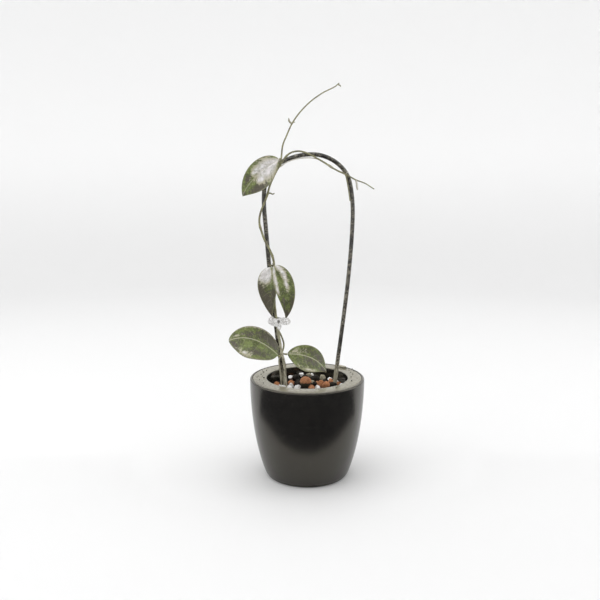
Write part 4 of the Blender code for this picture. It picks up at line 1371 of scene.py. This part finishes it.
@dataclass
class Vine:
    """The vine: old wood at the foot, the main stem, its shoots, nodes and petioles."""

    radius: float = 1.6
    end_radius: float = 0.78
    petiole_radius: float = 1.3
    route: tuple[Place, ...] = (
        (-27.2, 6.4, 78.0), (-27.4, 5.8, 96.0), (-28.1, 5.3, 106.1), (-28.0, 5.0, 113.0), (-28.3, 4.7, 121.1),
        (-28.9, 4.5, 130.3), (-29.9, 4.4, 137.2), LOW_NODE, (-33.1, 4.2, 151.2), (-33.9, 4.2, 157.0),
        (-35.0, 4.3, 162.7), (-36.1, 4.3, 168.5), (-37.0, 4.3, 174.2), (-37.6, 4.5, 179.9),
        (-38.7, 4.4, 187.8), (-39.7, 4.2, 195.6), (-40.2, 4.1, 204.6), (-40.5, 3.8, 215.6),
        (-40.5, 3.2, 226.5), (-40.4, 3.4, 235.9), MIDDLE_NODE, (-40.5, 4.3, 246.0),
        (-41.2, 4.0, 250.3), (-42.6, 3.9, 255.1), (-44.6, 3.9, 259.7), (-46.9, 4.0, 264.2),
        (-49.5, 3.9, 268.9), (-51.5, 3.6, 273.2), (-52.9, 2.5, 278.0), (-54.1, 1.5, 282.8),
        (-55.2, 1.0, 287.0), (-55.6, 0.8, 291.8), (-55.2, 1.0, 296.6), (-54.3, 1.6, 300.9),
        (-53.2, 3.0, 305.0), (-51.6, 3.9, 309.3), (-49.8, 4.0, 313.5), (-48.2, 4.0, 317.2),
        STUB_JOINT, (-45.7, 4.0, 325.6), (-44.2, 4.3, 330.4), (-41.5, 4.4, 336.1),
        (-38.6, 4.5, 341.9), (-35.6, 4.6, 347.0), TOP_NODE, (-30.2, 4.0, 354.6), (-26.5, 3.1, 359.1),
        (-21.1, 1.4, 363.2), (-15.2, 0.8, 365.3), (-9.8, 1.8, 365.7), (-4.8, 3.6, 364.6),
        (0.9, 3.8, 362.6), (6.9, 3.4, 359.8), (13.6, 2.6, 356.7), (20.3, 2.4, 353.3),
        (26.8, 2.8, 349.2), (32.9, 3.2, 346.0), (38.3, 4.0, 343.7), SHOULDER, VINE_TIP,
    )
    nodes: tuple[tuple[Place, float], ...] = ((LOW_NODE, 2.3), (MIDDLE_NODE, 1.7), (TOP_NODE, 1.7))
    small_nodes: tuple[float, ...] = (0.14, 0.31, 0.47, 0.56, 0.66, 0.78, 0.93)
    shoots: tuple[Shoot, ...] = (
        Shoot("foot shoot", ((-29.4, 1.8, 84.0), (-30.8, 1.2, 98.0), (-31.3, 1.0, 105.3), (-31.7, 1.0, 112.3),
                             (-32.4, 1.1, 120.5), (-33.6, 1.9, 128.9), (-34.7, 2.5, 136.7), LOW_NODE),
              0.9, 0.9, 0.95),
        Shoot("side shoot", (LOW_NODE, (-30.1, 3.8, 149.7), (-29.3, 3.6, 154.2), (-30.1, 3.7, 158.8),
                             (-31.8, 3.9, 163.5), (-34.0, 4.2, 168.3), (-36.4, 4.4, 172.8)), 0.95, 0.95),
        Shoot("right runner", (VINE_TIP, (53.1, 3.2, 337.0), (56.9, 3.0, 335.3), (63.8, 2.8, 333.2),
                               (69.4, 2.8, 331.1), (74.4, 3.0, 328.2), (79.6, 3.2, 325.1)), 0.78, 0.6),
        Shoot("leg runner", (SHOULDER, (45.1, 3.6, 336.9), (46.8, 2.8, 330.9), (48.3, 2.2, 324.3),
                             (49.5, 2.0, 317.7), (50.2, 2.2, 312.1)), 0.78, 0.6),
        Shoot("top runner", (TOP_NODE, (-31.8, 4.8, 358.1), (-29.9, 4.4, 371.5), (-25.6, 3.8, 381.0),
                             (-19.0, 3.0, 394.0), (-10.3, 2.6, 405.6), (1.5, 2.2, 417.0),
                             (15.9, 2.0, 427.0), (30.9, 2.4, 434.6), (35.6, 3.0, 438.4)), 0.9, 0.6),
        Shoot("curled stub", (STUB_JOINT, (-44.1, 5.2, 321.2), (-42.0, 5.4, 320.2), (-39.8, 5.6, 321.2)),
              0.9, 0.6),
    )
    dry_roots: tuple[Shoot, ...] = (
        Shoot("drooping root", ((56.9, 3.0, 335.3), (57.7, 3.2, 330.9), (58.1, 3.2, 327.6),
                                (58.9, 3.2, 324.0)),
              1.15, 0.8625, 0.0),
        Shoot("strand under the arch", (
            (-34.6, 3.0, 347.6), (-30.8, 1.6, 349.6), (-25.7, 2.5, 353.3), (-18.9, 2.6, 356.0),
            (-10.6, 2.0, 357.9), (-2.1, 1.0, 358.7), (4.7, 1.4, 358.6), (11.5, 2.0, 357.2),
            (18.6, 2.0, 353.5),
            (24.5, 2.0, 350.0), (30.3, 2.4, 347.0), (36.0, 3.2, 343.9), (41.1, 4.0, 342.0)), 0.6, 0.45, 0.0),
    )
    wart_density: float = 42000.0       # to the square metre
    wart_size: float = 0.21

    def stem_radius(self, share: float) -> float:
        """Thickness of the main stem: tapering, with a swelling at each node."""
        plain = self.radius + (self.end_radius - self.radius) * share
        swell = sum(0.30 * math.exp(-((share - place) / 0.006) ** 2) for place in self.small_nodes)
        return plain + swell

    @staticmethod
    def bark(length: float, turn: float, share: float) -> float:
        """Relief of the old bark, strongest at the foot."""
        old = max(0.15, 1.0 - 3.2 * share)
        ridge = noise.noise(Vector((2.2 * math.cos(turn), 2.2 * math.sin(turn), 0.14 * length)))
        lump = noise.noise(Vector((math.cos(turn), math.sin(turn), 0.55 * length + 9.0)))
        return old * (0.16 * ridge + 0.12 * lump)

    @staticmethod
    def young(length: float, turn: float, share: float) -> float:
        """Faint relief of young skin."""
        return 0.05 * noise.noise(Vector((math.cos(turn), math.sin(turn), 0.5 * length)))

    @staticmethod
    def node_mesh(place: Place, size: float) -> bpy.types.Mesh:
        """A swollen node of a size: a lumpy knuckle, drawn in round its middle."""
        work = bmesh.new()
        bmesh.ops.create_icosphere(work, subdivisions=4, radius=1.0)
        centre = on_hoop(place)
        for vert in work.verts:
            way = vert.co.normalized()
            lump = noise.fractal(way * 1.9 + centre, 0.9, 2.0, 3)
            groove = 0.10 * math.exp(-(way.z / 0.13) ** 2)
            vert.co = (centre + way * size * (0.94 + 0.07 * lump - groove)) * MM
        mesh = bpy.data.meshes.new("node")
        work.to_mesh(mesh)
        work.free()
        mesh.uv_layers.new(name="UVMap")
        set_values(mesh, "age", [0.8 if place is LOW_NODE else 0.1] * len(mesh.vertices))
        return mesh

    def petiole(self, leaf: Leaf, place: Place) -> bpy.types.Mesh:
        """The short stalk from a node to a leaf: slimmer in its middle, with faint rings along it."""
        base, direction = leaf.midrib(0.0)
        end = base - direction * 0.05
        route = smooth_route([tuple(on_hoop(place)), tuple(end - direction * 2.0), tuple(end)], 0.8)

        def thick(share: float) -> float:
            return self.petiole_radius * (0.98 - 0.26 * math.sin(math.pi * min(1.0, share * 1.05)))

        def rings(length: float, turn: float, share: float) -> float:
            return 0.05 * math.sin(3.4 * length) * (0.4 + 0.6 * math.cos(turn)) - 0.04

        return Sweep(route, thick, 24, rings, 5, lambda share: 0.25 - 0.25 * share).mesh("petiole")

    def scale_leaves(self) -> list[bpy.types.Mesh]:
        """The pointed leaves at the top runner's joint, the bud at its tip and one scale on the arch."""
        meshes = []
        for ends, width, bow in ((((-19.0, 3.0, 394.0), (-22.8, 3.6, 400.2)), 1.05, 0.18),
                                 (((-19.0, 3.0, 394.0), (-15.4, 3.4, 395.8)), 0.85, 0.18),
                                 (((34.0, 2.8, 436.6), (37.4, 3.4, 434.2)), 0.8, 0.18),
                                 (((21.6, 3.0, 352.4), (31.4, 3.7, 346.2)), 1.35, 0.0)):
            first, last = (on_hoop(end) for end in ends)
            side = (last - first).cross(Vector((0.0, 1.0, 0.0))).normalized()
            sag = side * bow * (last - first).length
            route = smooth_route([tuple(first), tuple(0.5 * (first + last) + sag), tuple(last)], 0.4)

            def thick(share: float, half: float = width) -> float:
                return half * max(0.22, math.sin(math.pi * (0.22 + 0.74 * share)) ** 0.8)

            meshes.append(Sweep(route, thick, 14, self.young, 4, lambda share: 0.5).mesh("scale leaf"))
        return meshes

    def root_curl(self) -> bpy.types.Mesh:
        """A dry root that curls once round the hoop at the arch's right shoulder."""
        centre, heading, out = Vector((45.4, 0.0, 343.0)), Vector((0.54, 0.0, -0.84)), Vector((0.0, 1.0, 0.0))
        side = heading.cross(out)
        turns = [0.1 * step for step in range(68)]
        route = [on_hoop(tuple(centre + (side * math.cos(turn) + out * math.sin(turn)) * (HOOP_RADIUS + 0.42)
                               + heading * 0.14 * turn)) for turn in turns]
        return Sweep(route, lambda share: 0.38, 12, self.young, 3).mesh("root curl")

    def root_stubs(self) -> list[bpy.types.Mesh]:
        """Short dry air roots that stand off the stem below its nodes."""
        draw = random.Random(SEED + 9)
        stubs = []
        path = smooth_route(self.route, 1.5)
        for share in (0.16, 0.20, 0.36, 0.47, 0.60, 0.66, 0.80, 0.93):
            index = int(share * (len(path) - 1))
            start = path[index]
            heading = (path[index + 1] - path[index - 1]).normalized()
            out = Vector((draw.uniform(-0.6, 0.6), 1.0, draw.uniform(-0.5, 0.2)))
            out = (out - heading * out.dot(heading)).normalized()
            reach = self.stem_radius(share) + draw.uniform(0.6, 1.5)
            tip = start + out * reach - Vector((0.0, 0.0, 0.5))
            bend = start + out * reach * 0.6
            route = [on_hoop(spot) for spot in smooth_route([tuple(start), tuple(bend), tuple(tip)], 0.4)]
            stubs.append(Sweep(route, lambda place: 0.42 - 0.16 * place, 10, self.young, 3,
                               lambda place: 0.9).mesh("air root stub"))
        return stubs

    def build(self, leaves: Sequence[Leaf]) -> None:
        """Builds and dresses the vine.

        Args:
            leaves: The leaves that the petioles reach to.
        """
        finish = Bark("vine skin", tint("c6c1ab"), tint("5b5546"), tint("8c8a66"), tint("6d6851")).make()
        main = [on_hoop(place) for place in smooth_route(self.route, 0.9)]
        wood = Sweep(main, self.stem_radius, 28, self.bark, 5,
                     lambda share: max(0.12, 1.0 - 2.2 * share)).mesh("wood")
        warts = wart_tree().grow("stem_warts", wood.copy(), Density=self.wart_density,
                                 Size=self.wart_size * MM, Seed=SEED, Finish=finish)
        set_values(warts, "age", [1.0] * len(warts.vertices))
        settle(add_piece("vine_wood", wood, finish), "stem", "vine_stem")
        settle(add_piece("stem_warts", warts), "stem", "vine_stem")
        shoots = [shoot.mesh(18, self.young, 4) for shoot in self.shoots]
        shoots += self.scale_leaves() + self.root_stubs()
        settle(add_piece("vine_runners", join_meshes("vine_runners", shoots), finish), "stem", "vine_stem")
        roots = [root.mesh(12, self.young, 3) for root in self.dry_roots] + [self.root_curl()]
        pale = Bark("dry root skin", tint("d0ccc2"), tint("9c9886"), tint("ccc8be"), tint("bdb8ac")).make()
        settle(add_piece("vine_dry_roots", join_meshes("vine_dry_roots", roots), pale), "stem", "vine_stem")
        knots = [self.node_mesh(place, size) for place, size in self.nodes]
        owners = (TOP_NODE, MIDDLE_NODE, MIDDLE_NODE, LOW_NODE, LOW_NODE)
        knots += [self.petiole(leaf, place) for leaf, place in zip(leaves, owners)]
        settle(add_piece("vine_nodes", join_meshes("vine_nodes", knots), finish), "stem", "vine_stem")


# Leaves.


Mark = tuple[float, float, float, float, float]     # share, side, length, width and strength of a patch


@dataclass
class Leaf:
    """A thick blade on the CAD leaf's own surface, with midrib, rounded edge, markings and painted sheens."""

    name: str
    places: tuple[Place, Place, Place]
    across: Place
    halves: tuple[float, float]
    ends: tuple[tuple[float, float], tuple[float, float]]
    arch: float
    # silver patches, and painted sheens on the low leaves
    splashes_and_sheens: tuple[Mark, ...] = ()
    shades: tuple[Mark, ...] = ()
    rib: float = 0.85
    upper: float = 1.0                          # which way the upper face looks
    thick: float = 2.2
    edge_share: float = 0.45
    least_half: float = 1.1
    stations: int = 120
    strips: int = 48
    edge_steps: int = 5

    def midrib(self, share: float) -> tuple[Vector, Vector]:
        """Place and direction of the midrib, a parabola through its three places."""
        base, middle, tip = (Vector(place) for place in self.places)
        pull = 2.0 * middle - 0.5 * (base + tip)
        place = (1 - share) ** 2 * base + 2 * share * (1 - share) * pull + share ** 2 * tip
        direction = (1 - share) * (pull - base) + share * (tip - pull)
        return place, direction.normalized()

    def half_width(self, share: float, side: float) -> float:
        """Half width on one side of the midrib."""
        number = 0 if side < 0 else 1
        blunt, point = self.ends[number]
        peak = blunt / (blunt + point)
        full = (share / peak) ** blunt * ((1.0 - share) / (1.0 - peak)) ** point
        least = self.least_half * (1.0 - 0.6 * smooth_step(share, 0.90, 1.0))
        return max(least, self.halves[number] * full)

    def surface(self, share: float, side: float) -> Vector:
        """A place on the middle of the blade, in millimetres."""
        place, direction = self.midrib(share)
        across = Vector(self.across).normalized()
        across = (across - direction * across.dot(direction)).normalized()
        facing = across.cross(direction)
        reach = side * (self.half_width(share, side) - 0.5 * self.thick * self.edge_share)
        return place + across * reach - facing * self.arch * reach ** 2

    def normal(self, share: float, side: float) -> Vector:
        """The way that the upper face looks at a place."""
        step = 0.01
        along = self.surface(min(share + step, 0.995), side) - self.surface(max(share - step, 0.005), side)
        over = self.surface(share, min(side + step, 1.0)) - self.surface(share, max(side - step, -1.0))
        return (over.cross(along) * self.upper).normalized()

    @staticmethod
    def field(marks: Sequence[Mark], share: float, side: float) -> float:
        """How strong the marks are at a place, about 0.5 at a mark's edge."""
        best = 0.0
        for centre, middle, length, width, strength in marks:
            gap = math.hypot((share - centre) / length, (side - middle) / width)
            best = max(best, strength * (1.0 - 0.5 * gap))
        return best

    def relief(self, share: float, reach: float, side: float) -> tuple[float, float]:
        """How far the upper and the lower face stand off the plain blade, in millimetres."""
        fade = 1.0 - 0.75 * share
        groove = -0.42 * fade * math.exp(-(reach / 0.9) ** 2)
        shoulder = 0.20 * fade * math.exp(-((abs(reach) - 2.4) / 1.3) ** 2)
        keel = 0.75 * fade * math.exp(-(reach / 1.0) ** 2)
        swell = 0.16 * noise.noise(Vector((share * 9.0, side * 2.4, len(self.name))))
        return groove + shoulder + swell, keel

    def build(self, finish: bpy.types.Material) -> None:
        """Builds and dresses the blade.

        Args:
            finish: The leaf's skin.
        """
        shares = []
        for index in range(self.stations + 1):
            even = index / self.stations
            eased = 0.5 - 0.5 * math.cos(math.pi * even)
            shares.append(0.002 + 0.992 * (0.55 * even + 0.45 * eased))
        sides = []
        for index in range(self.strips + 1):
            even = 2.0 * index / self.strips - 1.0
            sides.append(math.copysign(1.0 - (1.0 - abs(even)) ** 1.25, even))
        rows: list[list[Vector]] = []
        keys = ("share", "side", "reach", "hand", "upper", "splash_and_sheen", "shade", "rib")
        notes: dict[str, list[float]] = {key: [] for key in keys}
        parts = [(step + 1.0) / (self.edge_steps + 1.0) for step in range(self.edge_steps)]

        def note(share: float, side: float, upper: float) -> None:
            half = self.half_width(share, side)
            values = (share, abs(side), abs(side) * half, math.copysign(3.0, side), upper,
                      self.field(self.splashes_and_sheens, share, side), self.field(self.shades, share, side), self.rib)
            for key, value in zip(keys, values):
                notes[key].append(value)

        for share in shares:
            top, bottom = [], []
            for side in sides:
                place, up = self.surface(share, side), self.normal(share, side)
                half = self.half_width(share, side)
                close = min(1.0, min(share, 1.0 - share) / 0.04)
                plump = self.edge_share + (1.0 - self.edge_share) * (1.0 - abs(side) ** 3) * close
                lift, keel = self.relief(share, side * half, side)
                soft = (1.0 - abs(side) ** 6) * close
                top.append(place + up * (0.5 * self.thick * plump + lift * soft))
                bottom.append(place - up * (0.5 * self.thick * plump + keel * soft))
            row = [*top, *self.edge(top[-1], bottom[-1], share, 1.0), *reversed(bottom),
                   *self.edge(bottom[0], top[0], share, -1.0)]
            marks = [(share, side, 1.0) for side in sides]
            marks += [(share, 1.0, 1.0 - part) for part in parts]
            marks += [(share, side, 0.0) for side in reversed(sides)]
            marks += [(share, -1.0, part) for part in parts]
            rows.append([point * MM for point in row])
            for mark in marks:
                note(*mark)
        mesh = grid_mesh(self.name + "_blade", rows)
        for key, values in notes.items():
            set_values(mesh, key, values)
        settle(add_piece(self.name + "_blade", mend(mesh, 0.001), finish), "leaf", self.name)

    def edge(self, near: Vector, far: Vector, share: float, side: float) -> list[Vector]:
        """The half-round edge between the two faces, bulging outwards."""
        middle, half = 0.5 * (near + far), 0.5 * (near - far)
        inward = self.surface(share, side * 0.97) - self.surface(share, side)
        out = -inward.normalized() * half.length
        turns = [math.pi * (step + 1) / (self.edge_steps + 1) for step in range(self.edge_steps)]
        return [middle + half * math.cos(turn) + out * math.sin(turn) for turn in turns]


LEAVES = (
    Leaf("leaf_top", ((-30.0, -20.5, 356.2), (-54.3, -27.0, 338.5), (-68.8, -26.0, 318.0)),
         (-0.62, 0.25, 0.75), (17.1, 13.1), ((0.90, 1.01), (0.50, 0.94)), -0.010,
         splashes_and_sheens=((0.22, -0.05, 0.33, 0.95, 1.1), (0.46, -0.35, 0.15, 0.36, 1.0),
                   (0.43, 0.36, 0.15, 0.34, 1.0)),
         shades=((0.62, -0.80, 0.24, 0.42, 1.0), (0.66, 0.50, 0.10, 0.34, 0.9),
                 (0.98, -0.20, 0.10, 0.80, 0.8)),
         rib=0.45),
    Leaf("leaf_mid_left", ((-40.0, -22.0, 242.3), (-39.6, -23.0, 214.7), (-38.7, -22.0, 188.2)),
         (-0.82, 0.57, 0.0), (9.8, 15.9), ((0.41, 1.30), (0.49, 0.89)), -0.012,
         splashes_and_sheens=((0.10, 0.45, 0.23, 0.72, 1.25),),
         shades=((0.86, 0.10, 0.32, 1.30, 1.3), (0.52, 0.90, 0.26, 0.50, 1.0),
                 (0.52, -0.60, 0.12, 0.70, 1.0)),
         rib=0.0),
    Leaf("leaf_mid_right", ((-36.0, -27.5, 244.7), (-26.5, -36.0, 217.6), (-23.5, -33.0, 188.1)),
         (-0.93, -0.25, -0.15), (13.9, 8.0), ((0.48, 0.78), (0.69, 1.30)), -0.010,
         splashes_and_sheens=((0.05, -0.50, 0.12, 0.55, 1.0), (0.20, -0.48, 0.18, 0.30, 1.0),
                   (0.38, -0.42, 0.14, 0.20, 0.95),
                   (0.08, 0.62, 0.12, 0.45, 1.0), (0.26, 0.66, 0.20, 0.34, 1.0),
                   (0.44, 0.76, 0.12, 0.28, 1.0)),
         shades=((0.96, 0.0, 0.13, 1.30, 1.1), (0.76, -0.85, 0.20, 0.26, 0.9), (0.70, 0.25, 0.13, 0.50, 0.8)),
         rib=0.0),
    Leaf("leaf_low_left", ((-32.7, -23.9, 145.1), (-59.6, -28.0, 163.6), (-86.0, -27.0, 161.7)),
         (0.05, -0.60, -0.80), (15.6, 25.9), ((0.42, 0.62), (0.55, 0.64)), 0.010,
         # The first mark is a painted sheen along the lower edge.
         splashes_and_sheens=((0.62, 0.80, 0.26, 0.22, 0.78), (0.84, -0.36, 0.24, 0.24, 0.62),
                   (0.50, -0.98, 0.50, 0.10, 0.75)),
         shades=((0.22, -0.62, 0.26, 0.50, 1.0), (0.90, 0.50, 0.14, 0.45, 0.9),
                 (0.36, 0.62, 0.22, 0.26, 0.85),
                (0.60, -0.40, 0.20, 0.30, 0.75)),
         upper=-1.0),
    Leaf("leaf_low_right", ((-22.2, -14.3, 143.9), (5.3, -12.5, 138.2), (21.3, -6.0, 119.9)),
         (0.05, -0.60, -0.80), (13.7, 20.3), ((0.62, 0.75), (0.81, 1.15)), -0.012,
         # The first mark is a painted sheen along the lower edge.
         splashes_and_sheens=((0.48, 0.88, 0.34, 0.20, 0.72), (0.16, -0.35, 0.24, 0.60, 0.66)),
         shades=((0.90, 0.55, 0.18, 0.60, 1.0), (0.50, 0.25, 0.24, 0.30, 0.85),
                 (0.62, -0.50, 0.30, 0.50, 0.75))),
)


# Clip.


@dataclass
class PlantClip:
    """The small clear clip: a sleeve round hoop and vine, with scalloped wings and a spring ring."""

    height: float = 9.0
    wall: float = 1.3
    hoop_place: Place = (-38.0, 0.0, 181.0)
    vine_place: Place = (-37.0, 4.6, 181.0)
    bore: float = HOOP_RADIUS + 0.9

    @staticmethod
    def oval(width: float, height: float, lobes: int = 0, depth: float = 0.0, count: int = 72,
             centre: tuple[float, float] = (0.0, 0.0)) -> list[tuple[float, float]]:
        """Outline of an oval whose edge is drawn in between its lobes."""
        points = []
        for index in range(count):
            turn = math.tau * index / count
            dip = 1.0 - depth + depth * abs(math.cos(0.5 * lobes * turn)) ** 0.6 if lobes else 1.0
            points.append((centre[0] + 0.5 * width * dip * math.cos(turn),
                           centre[1] + 0.5 * height * dip * math.sin(turn)))
        return points

    def stadium(self, radius: float, count: int = 28) -> list[tuple[float, float]]:
        """Outline of a slot with round ends about hoop and vine."""
        first, second = (Vector(on_hoop(place)).to_2d() for place in (self.hoop_place, self.vine_place))
        heading = math.degrees(math.atan2(second.y - first.y, second.x - first.x))
        return (arc(tuple(second), radius, heading - 90.0, heading + 90.0, count)
                + arc(tuple(first), radius, heading + 90.0, heading + 270.0, count))

    def wing(self, centre: Place, outlines: Sequence[Sequence[tuple[float, float]]], thick: float,
             tilt: float) -> bpy.types.Mesh:
        """One wing, upright in the hoop's plane and tilted in it."""
        mesh = flat_outline("wing", outlines, thick, 0.32)
        mesh.transform(Matrix.Translation(on_hoop(centre) * MM) @ Matrix.Rotation(HOOP_TURN, 4, "Z")
                       @ Matrix.Rotation(tilt, 4, "Y") @ Matrix.Rotation(math.pi / 2.0, 4, "X"))
        return mesh

    def build(self) -> None:
        """Builds and dresses the clip, its spring ring and pivot."""
        sleeve = flat_outline("sleeve", [self.stadium(self.bore + self.wall), self.stadium(self.bore)],
                              self.height, 0.35)
        sleeve.transform(Matrix.Translation((0.0, 0.0, self.hoop_place[2] * MM)))
        left = [self.oval(7.5, 9.6, 5, 0.08), self.oval(2.2, 2.2, centre=(-0.6, 1.6), count=20),
                self.oval(1.6, 1.6, centre=(-0.9, -1.9), count=20)]
        right = [self.oval(14.0, 8.8, 7, 0.08), self.oval(2.6, 1.8, centre=(2.4, 1.1), count=20),
                 self.oval(2.0, 1.5, centre=(3.6, -1.3), count=20),
                 self.oval(1.5, 1.5, centre=(-0.4, 1.2), count=20)]
        low = [self.oval(5.0, 8.0, 5, 0.08), self.oval(1.6, 2.4, centre=(0.0, -1.4), count=20)]
        wings = [self.wing((-43.8, 3.2, 183.0), left, 1.6, 0.3),
                 self.wing((-28.4, 4.2, 181.3), right, 1.8, 0.15),
                 self.wing((-36.6, 9.2, 177.0), low, 1.6, 0.0)]
        finish = ClearPlastic("cloudy clear plastic", tint("e9e7e6"), tint("fbfafa"), tint("8f8c7b")).make()
        body = join_meshes("clip_body", [sleeve, *wings])
        item = add_piece("clip_body", body, finish)
        body.set_sharp_from_angle(angle=math.radians(50.0))
        settle(item, "clip", "plant_clip")
        self.build_spring()

    def build_spring(self) -> None:
        """Builds the small spring ring and its pin on the clip's front."""
        centre = (-37.4, 10.05, 182.6)
        points = []
        turns, count = 2, 72
        for index in range(count + 1):
            turn = math.tau * turns * index / count
            points.append((centre[0] + 1.25 * math.cos(turn), centre[1] - 0.55 + 0.5 * index / count,
                           centre[2] + 1.25 * math.sin(turn)))
        ring = Sweep([on_hoop(point) for point in points], lambda share: 0.28, 12).mesh("spring ring")
        pin = Sweep([on_hoop((centre[0], centre[1] - 0.9, centre[2])), on_hoop(centre)],
                    lambda share: 0.45, 16).mesh("pin")
        settle(add_piece("clip_spring", join_meshes("clip_spring", [ring, pin]), BareSteel().make()), "clip",
               "plant_clip")


# Studio.


Lamp = tuple[str, Place, tuple[float, float], float]        # name, place, size in metres, power


@dataclass
class Studio:
    """The camera, the pale floor with the dark card on it, and the soft light."""

    lens: float = 41.84
    sensor: float = 36.0
    place: Place = (-8.13, -770.9, 331.5)
    pitch: float = 9.49
    floor_radius: float = 1500.0
    sweep_radius: float = 1100.0
    wall_top: float = 3000.0
    floor_steps: int = 96
    low_shade: str = "e6e6e6"
    high_shade: str = "f8f8f8"
    shade_top: float = 500.0
    card_hole: tuple[float, float] = (215.0, 158.0)     # across, and out to the front
    card_far: float = 1450.0
    card_back: float = 50.0
    card_z: float = 2.0
    card_steps: int = 64
    lamps: tuple[Lamp, ...] = (
        ("soft left", (-1.3, -0.35, 1.0), (1.2, 1.4), 6.5),
        ("soft right", (1.4, 0.1, 0.8), (1.0, 1.3), 4.0),
        ("soft top", (-0.1, 0.25, 1.9), (1.8, 1.6), 9.0),
    )
    aim: Place = (0.0, 0.0, 0.2)
    surround_light: float = 1.02

    def build(self) -> None:
        """Sets up the studio."""
        self.camera()
        self.floor()
        self.lights()
        self.card()
        self.surround()

    def camera(self) -> None:
        """Sets the camera where the photograph was taken from."""
        data = bpy.data.cameras.new("camera")
        data.lens = self.lens
        data.sensor_width = self.sensor
        item = bpy.data.objects.new("camera", data)
        item.location = Vector(self.place) * MM
        item.rotation_euler = (math.radians(90.0 - self.pitch), 0.0, 0.0)
        bpy.context.scene.collection.objects.link(item)
        bpy.context.scene.camera = item
        bpy.context.scene.view_settings.view_transform = "Standard"

    def floor(self) -> None:
        """The plain pale floor, which sweeps up all round into a pale wall with no edge."""
        profile: Profile = [(0.0, 0.0), (self.floor_radius, 0.0)]
        profile += arc((self.floor_radius, self.sweep_radius), self.sweep_radius, -90.0, 0.0, 24)
        profile += [(self.floor_radius + self.sweep_radius, self.wall_top)]
        turns = [math.tau * step / self.floor_steps for step in range(self.floor_steps)]
        rows = [[Vector((radius * math.cos(turn), radius * math.sin(turn), height)) * MM for turn in turns]
                for radius, height in profile]
        work = Finish("studio floor")
        share = work.rise(work.along("Z"), 0.0, self.shade_top * MM)
        shade = work.blend(share, tint(self.low_shade), tint(self.high_shade))
        mesh = grid_mesh("floor", rows)
        mesh.flip_normals()
        add_piece("floor", mesh, work.wear(Base_Color=shade, Roughness=0.6, Specular_IOR_Level=0.1))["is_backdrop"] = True

    def card(self) -> None:
        """Lays a dark card round the object's front that only gloss sees, for the dark room before it."""
        steps = self.card_steps
        turns = [math.pi * (1.0 + step / steps) for step in range(steps + 1)]
        points = [Vector((across * math.cos(turn), self.card_back + deep * math.sin(turn), self.card_z)) * MM
                  for across, deep in (self.card_hole, (self.card_far, self.card_far)) for turn in turns]
        mesh = bpy.data.meshes.new("dark_card")
        mesh.from_pydata(points, [], [(step, steps + 1 + step, steps + 2 + step, step + 1)
                                      for step in range(steps)])
        mesh.materials.append(Finish("dark card").wear(Base_Color=(0.006, 0.006, 0.006), Roughness=1.0,
                                                       Specular_IOR_Level=0.0))
        card = bpy.data.objects.new("dark_card", mesh)
        bpy.context.scene.collection.objects.link(card)
        card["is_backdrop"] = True
        card.visible_camera = False
        card.visible_diffuse = False
        card.visible_shadow = False
        card.visible_transmission = False

    def lights(self) -> None:
        """Large soft lights at the left, the right and above."""
        for name, place, size, power in self.lamps:
            data = bpy.data.lights.new(name, "AREA")
            data.shape = "RECTANGLE"
            data.size, data.size_y = size
            data.energy = power
            item = bpy.data.objects.new(name, data)
            item.location = place
            item.rotation_euler = (Vector(self.aim) - Vector(place)).to_track_quat("-Z", "Y").to_euler()
            bpy.context.scene.collection.objects.link(item)

    def surround(self) -> None:
        """Fills everything with even white light from all round."""
        world = bpy.data.worlds.new("surround")
        world.use_nodes = True
        bpy.context.scene.world = world
        back = world.node_tree.nodes["Background"]
        back.inputs["Color"].default_value = (1.0, 1.0, 1.0, 1.0)
        back.inputs["Strength"].default_value = self.surround_light


def corners(box: tuple[Vector, Vector]) -> list[list[float]]:
    """A box as plain lists of numbers."""
    return [list(corner) for corner in box]


def main() -> None:
    """Loads the frame, builds every piece around it and works out the two sizes."""
    logging.basicConfig(level=logging.INFO, format="%(name)s: %(message)s")
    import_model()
    cad_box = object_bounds()
    Studio().build()
    PotShell().build()
    liner = PotLiner()
    liner.build()
    grains, scatter = GrainSet(), scatter_tree()
    GravelBed(liner).build(grains, scatter)
    liner.build_crumbs(grains, scatter)
    ClayBall().build()
    SupportHoop().build()
    Vine().build(LEAVES)
    skin = LeafSkin("leaf skin", tint("474d29"), tint("6a763c"), tint("838f54"), tint("4d483b"),
                    tint("bebbb8"),
                    tint("dddada"), tint("b0ac96"), tint("7f7c63"), tint("7d865a"), tint("aaa58f")).make()
    for leaf in LEAVES:
        leaf.build(skin)
    PlantClip().build()
    {"cad": corners(cad_box), "visual": corners(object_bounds())}


if __name__ == "__main__":
    main()
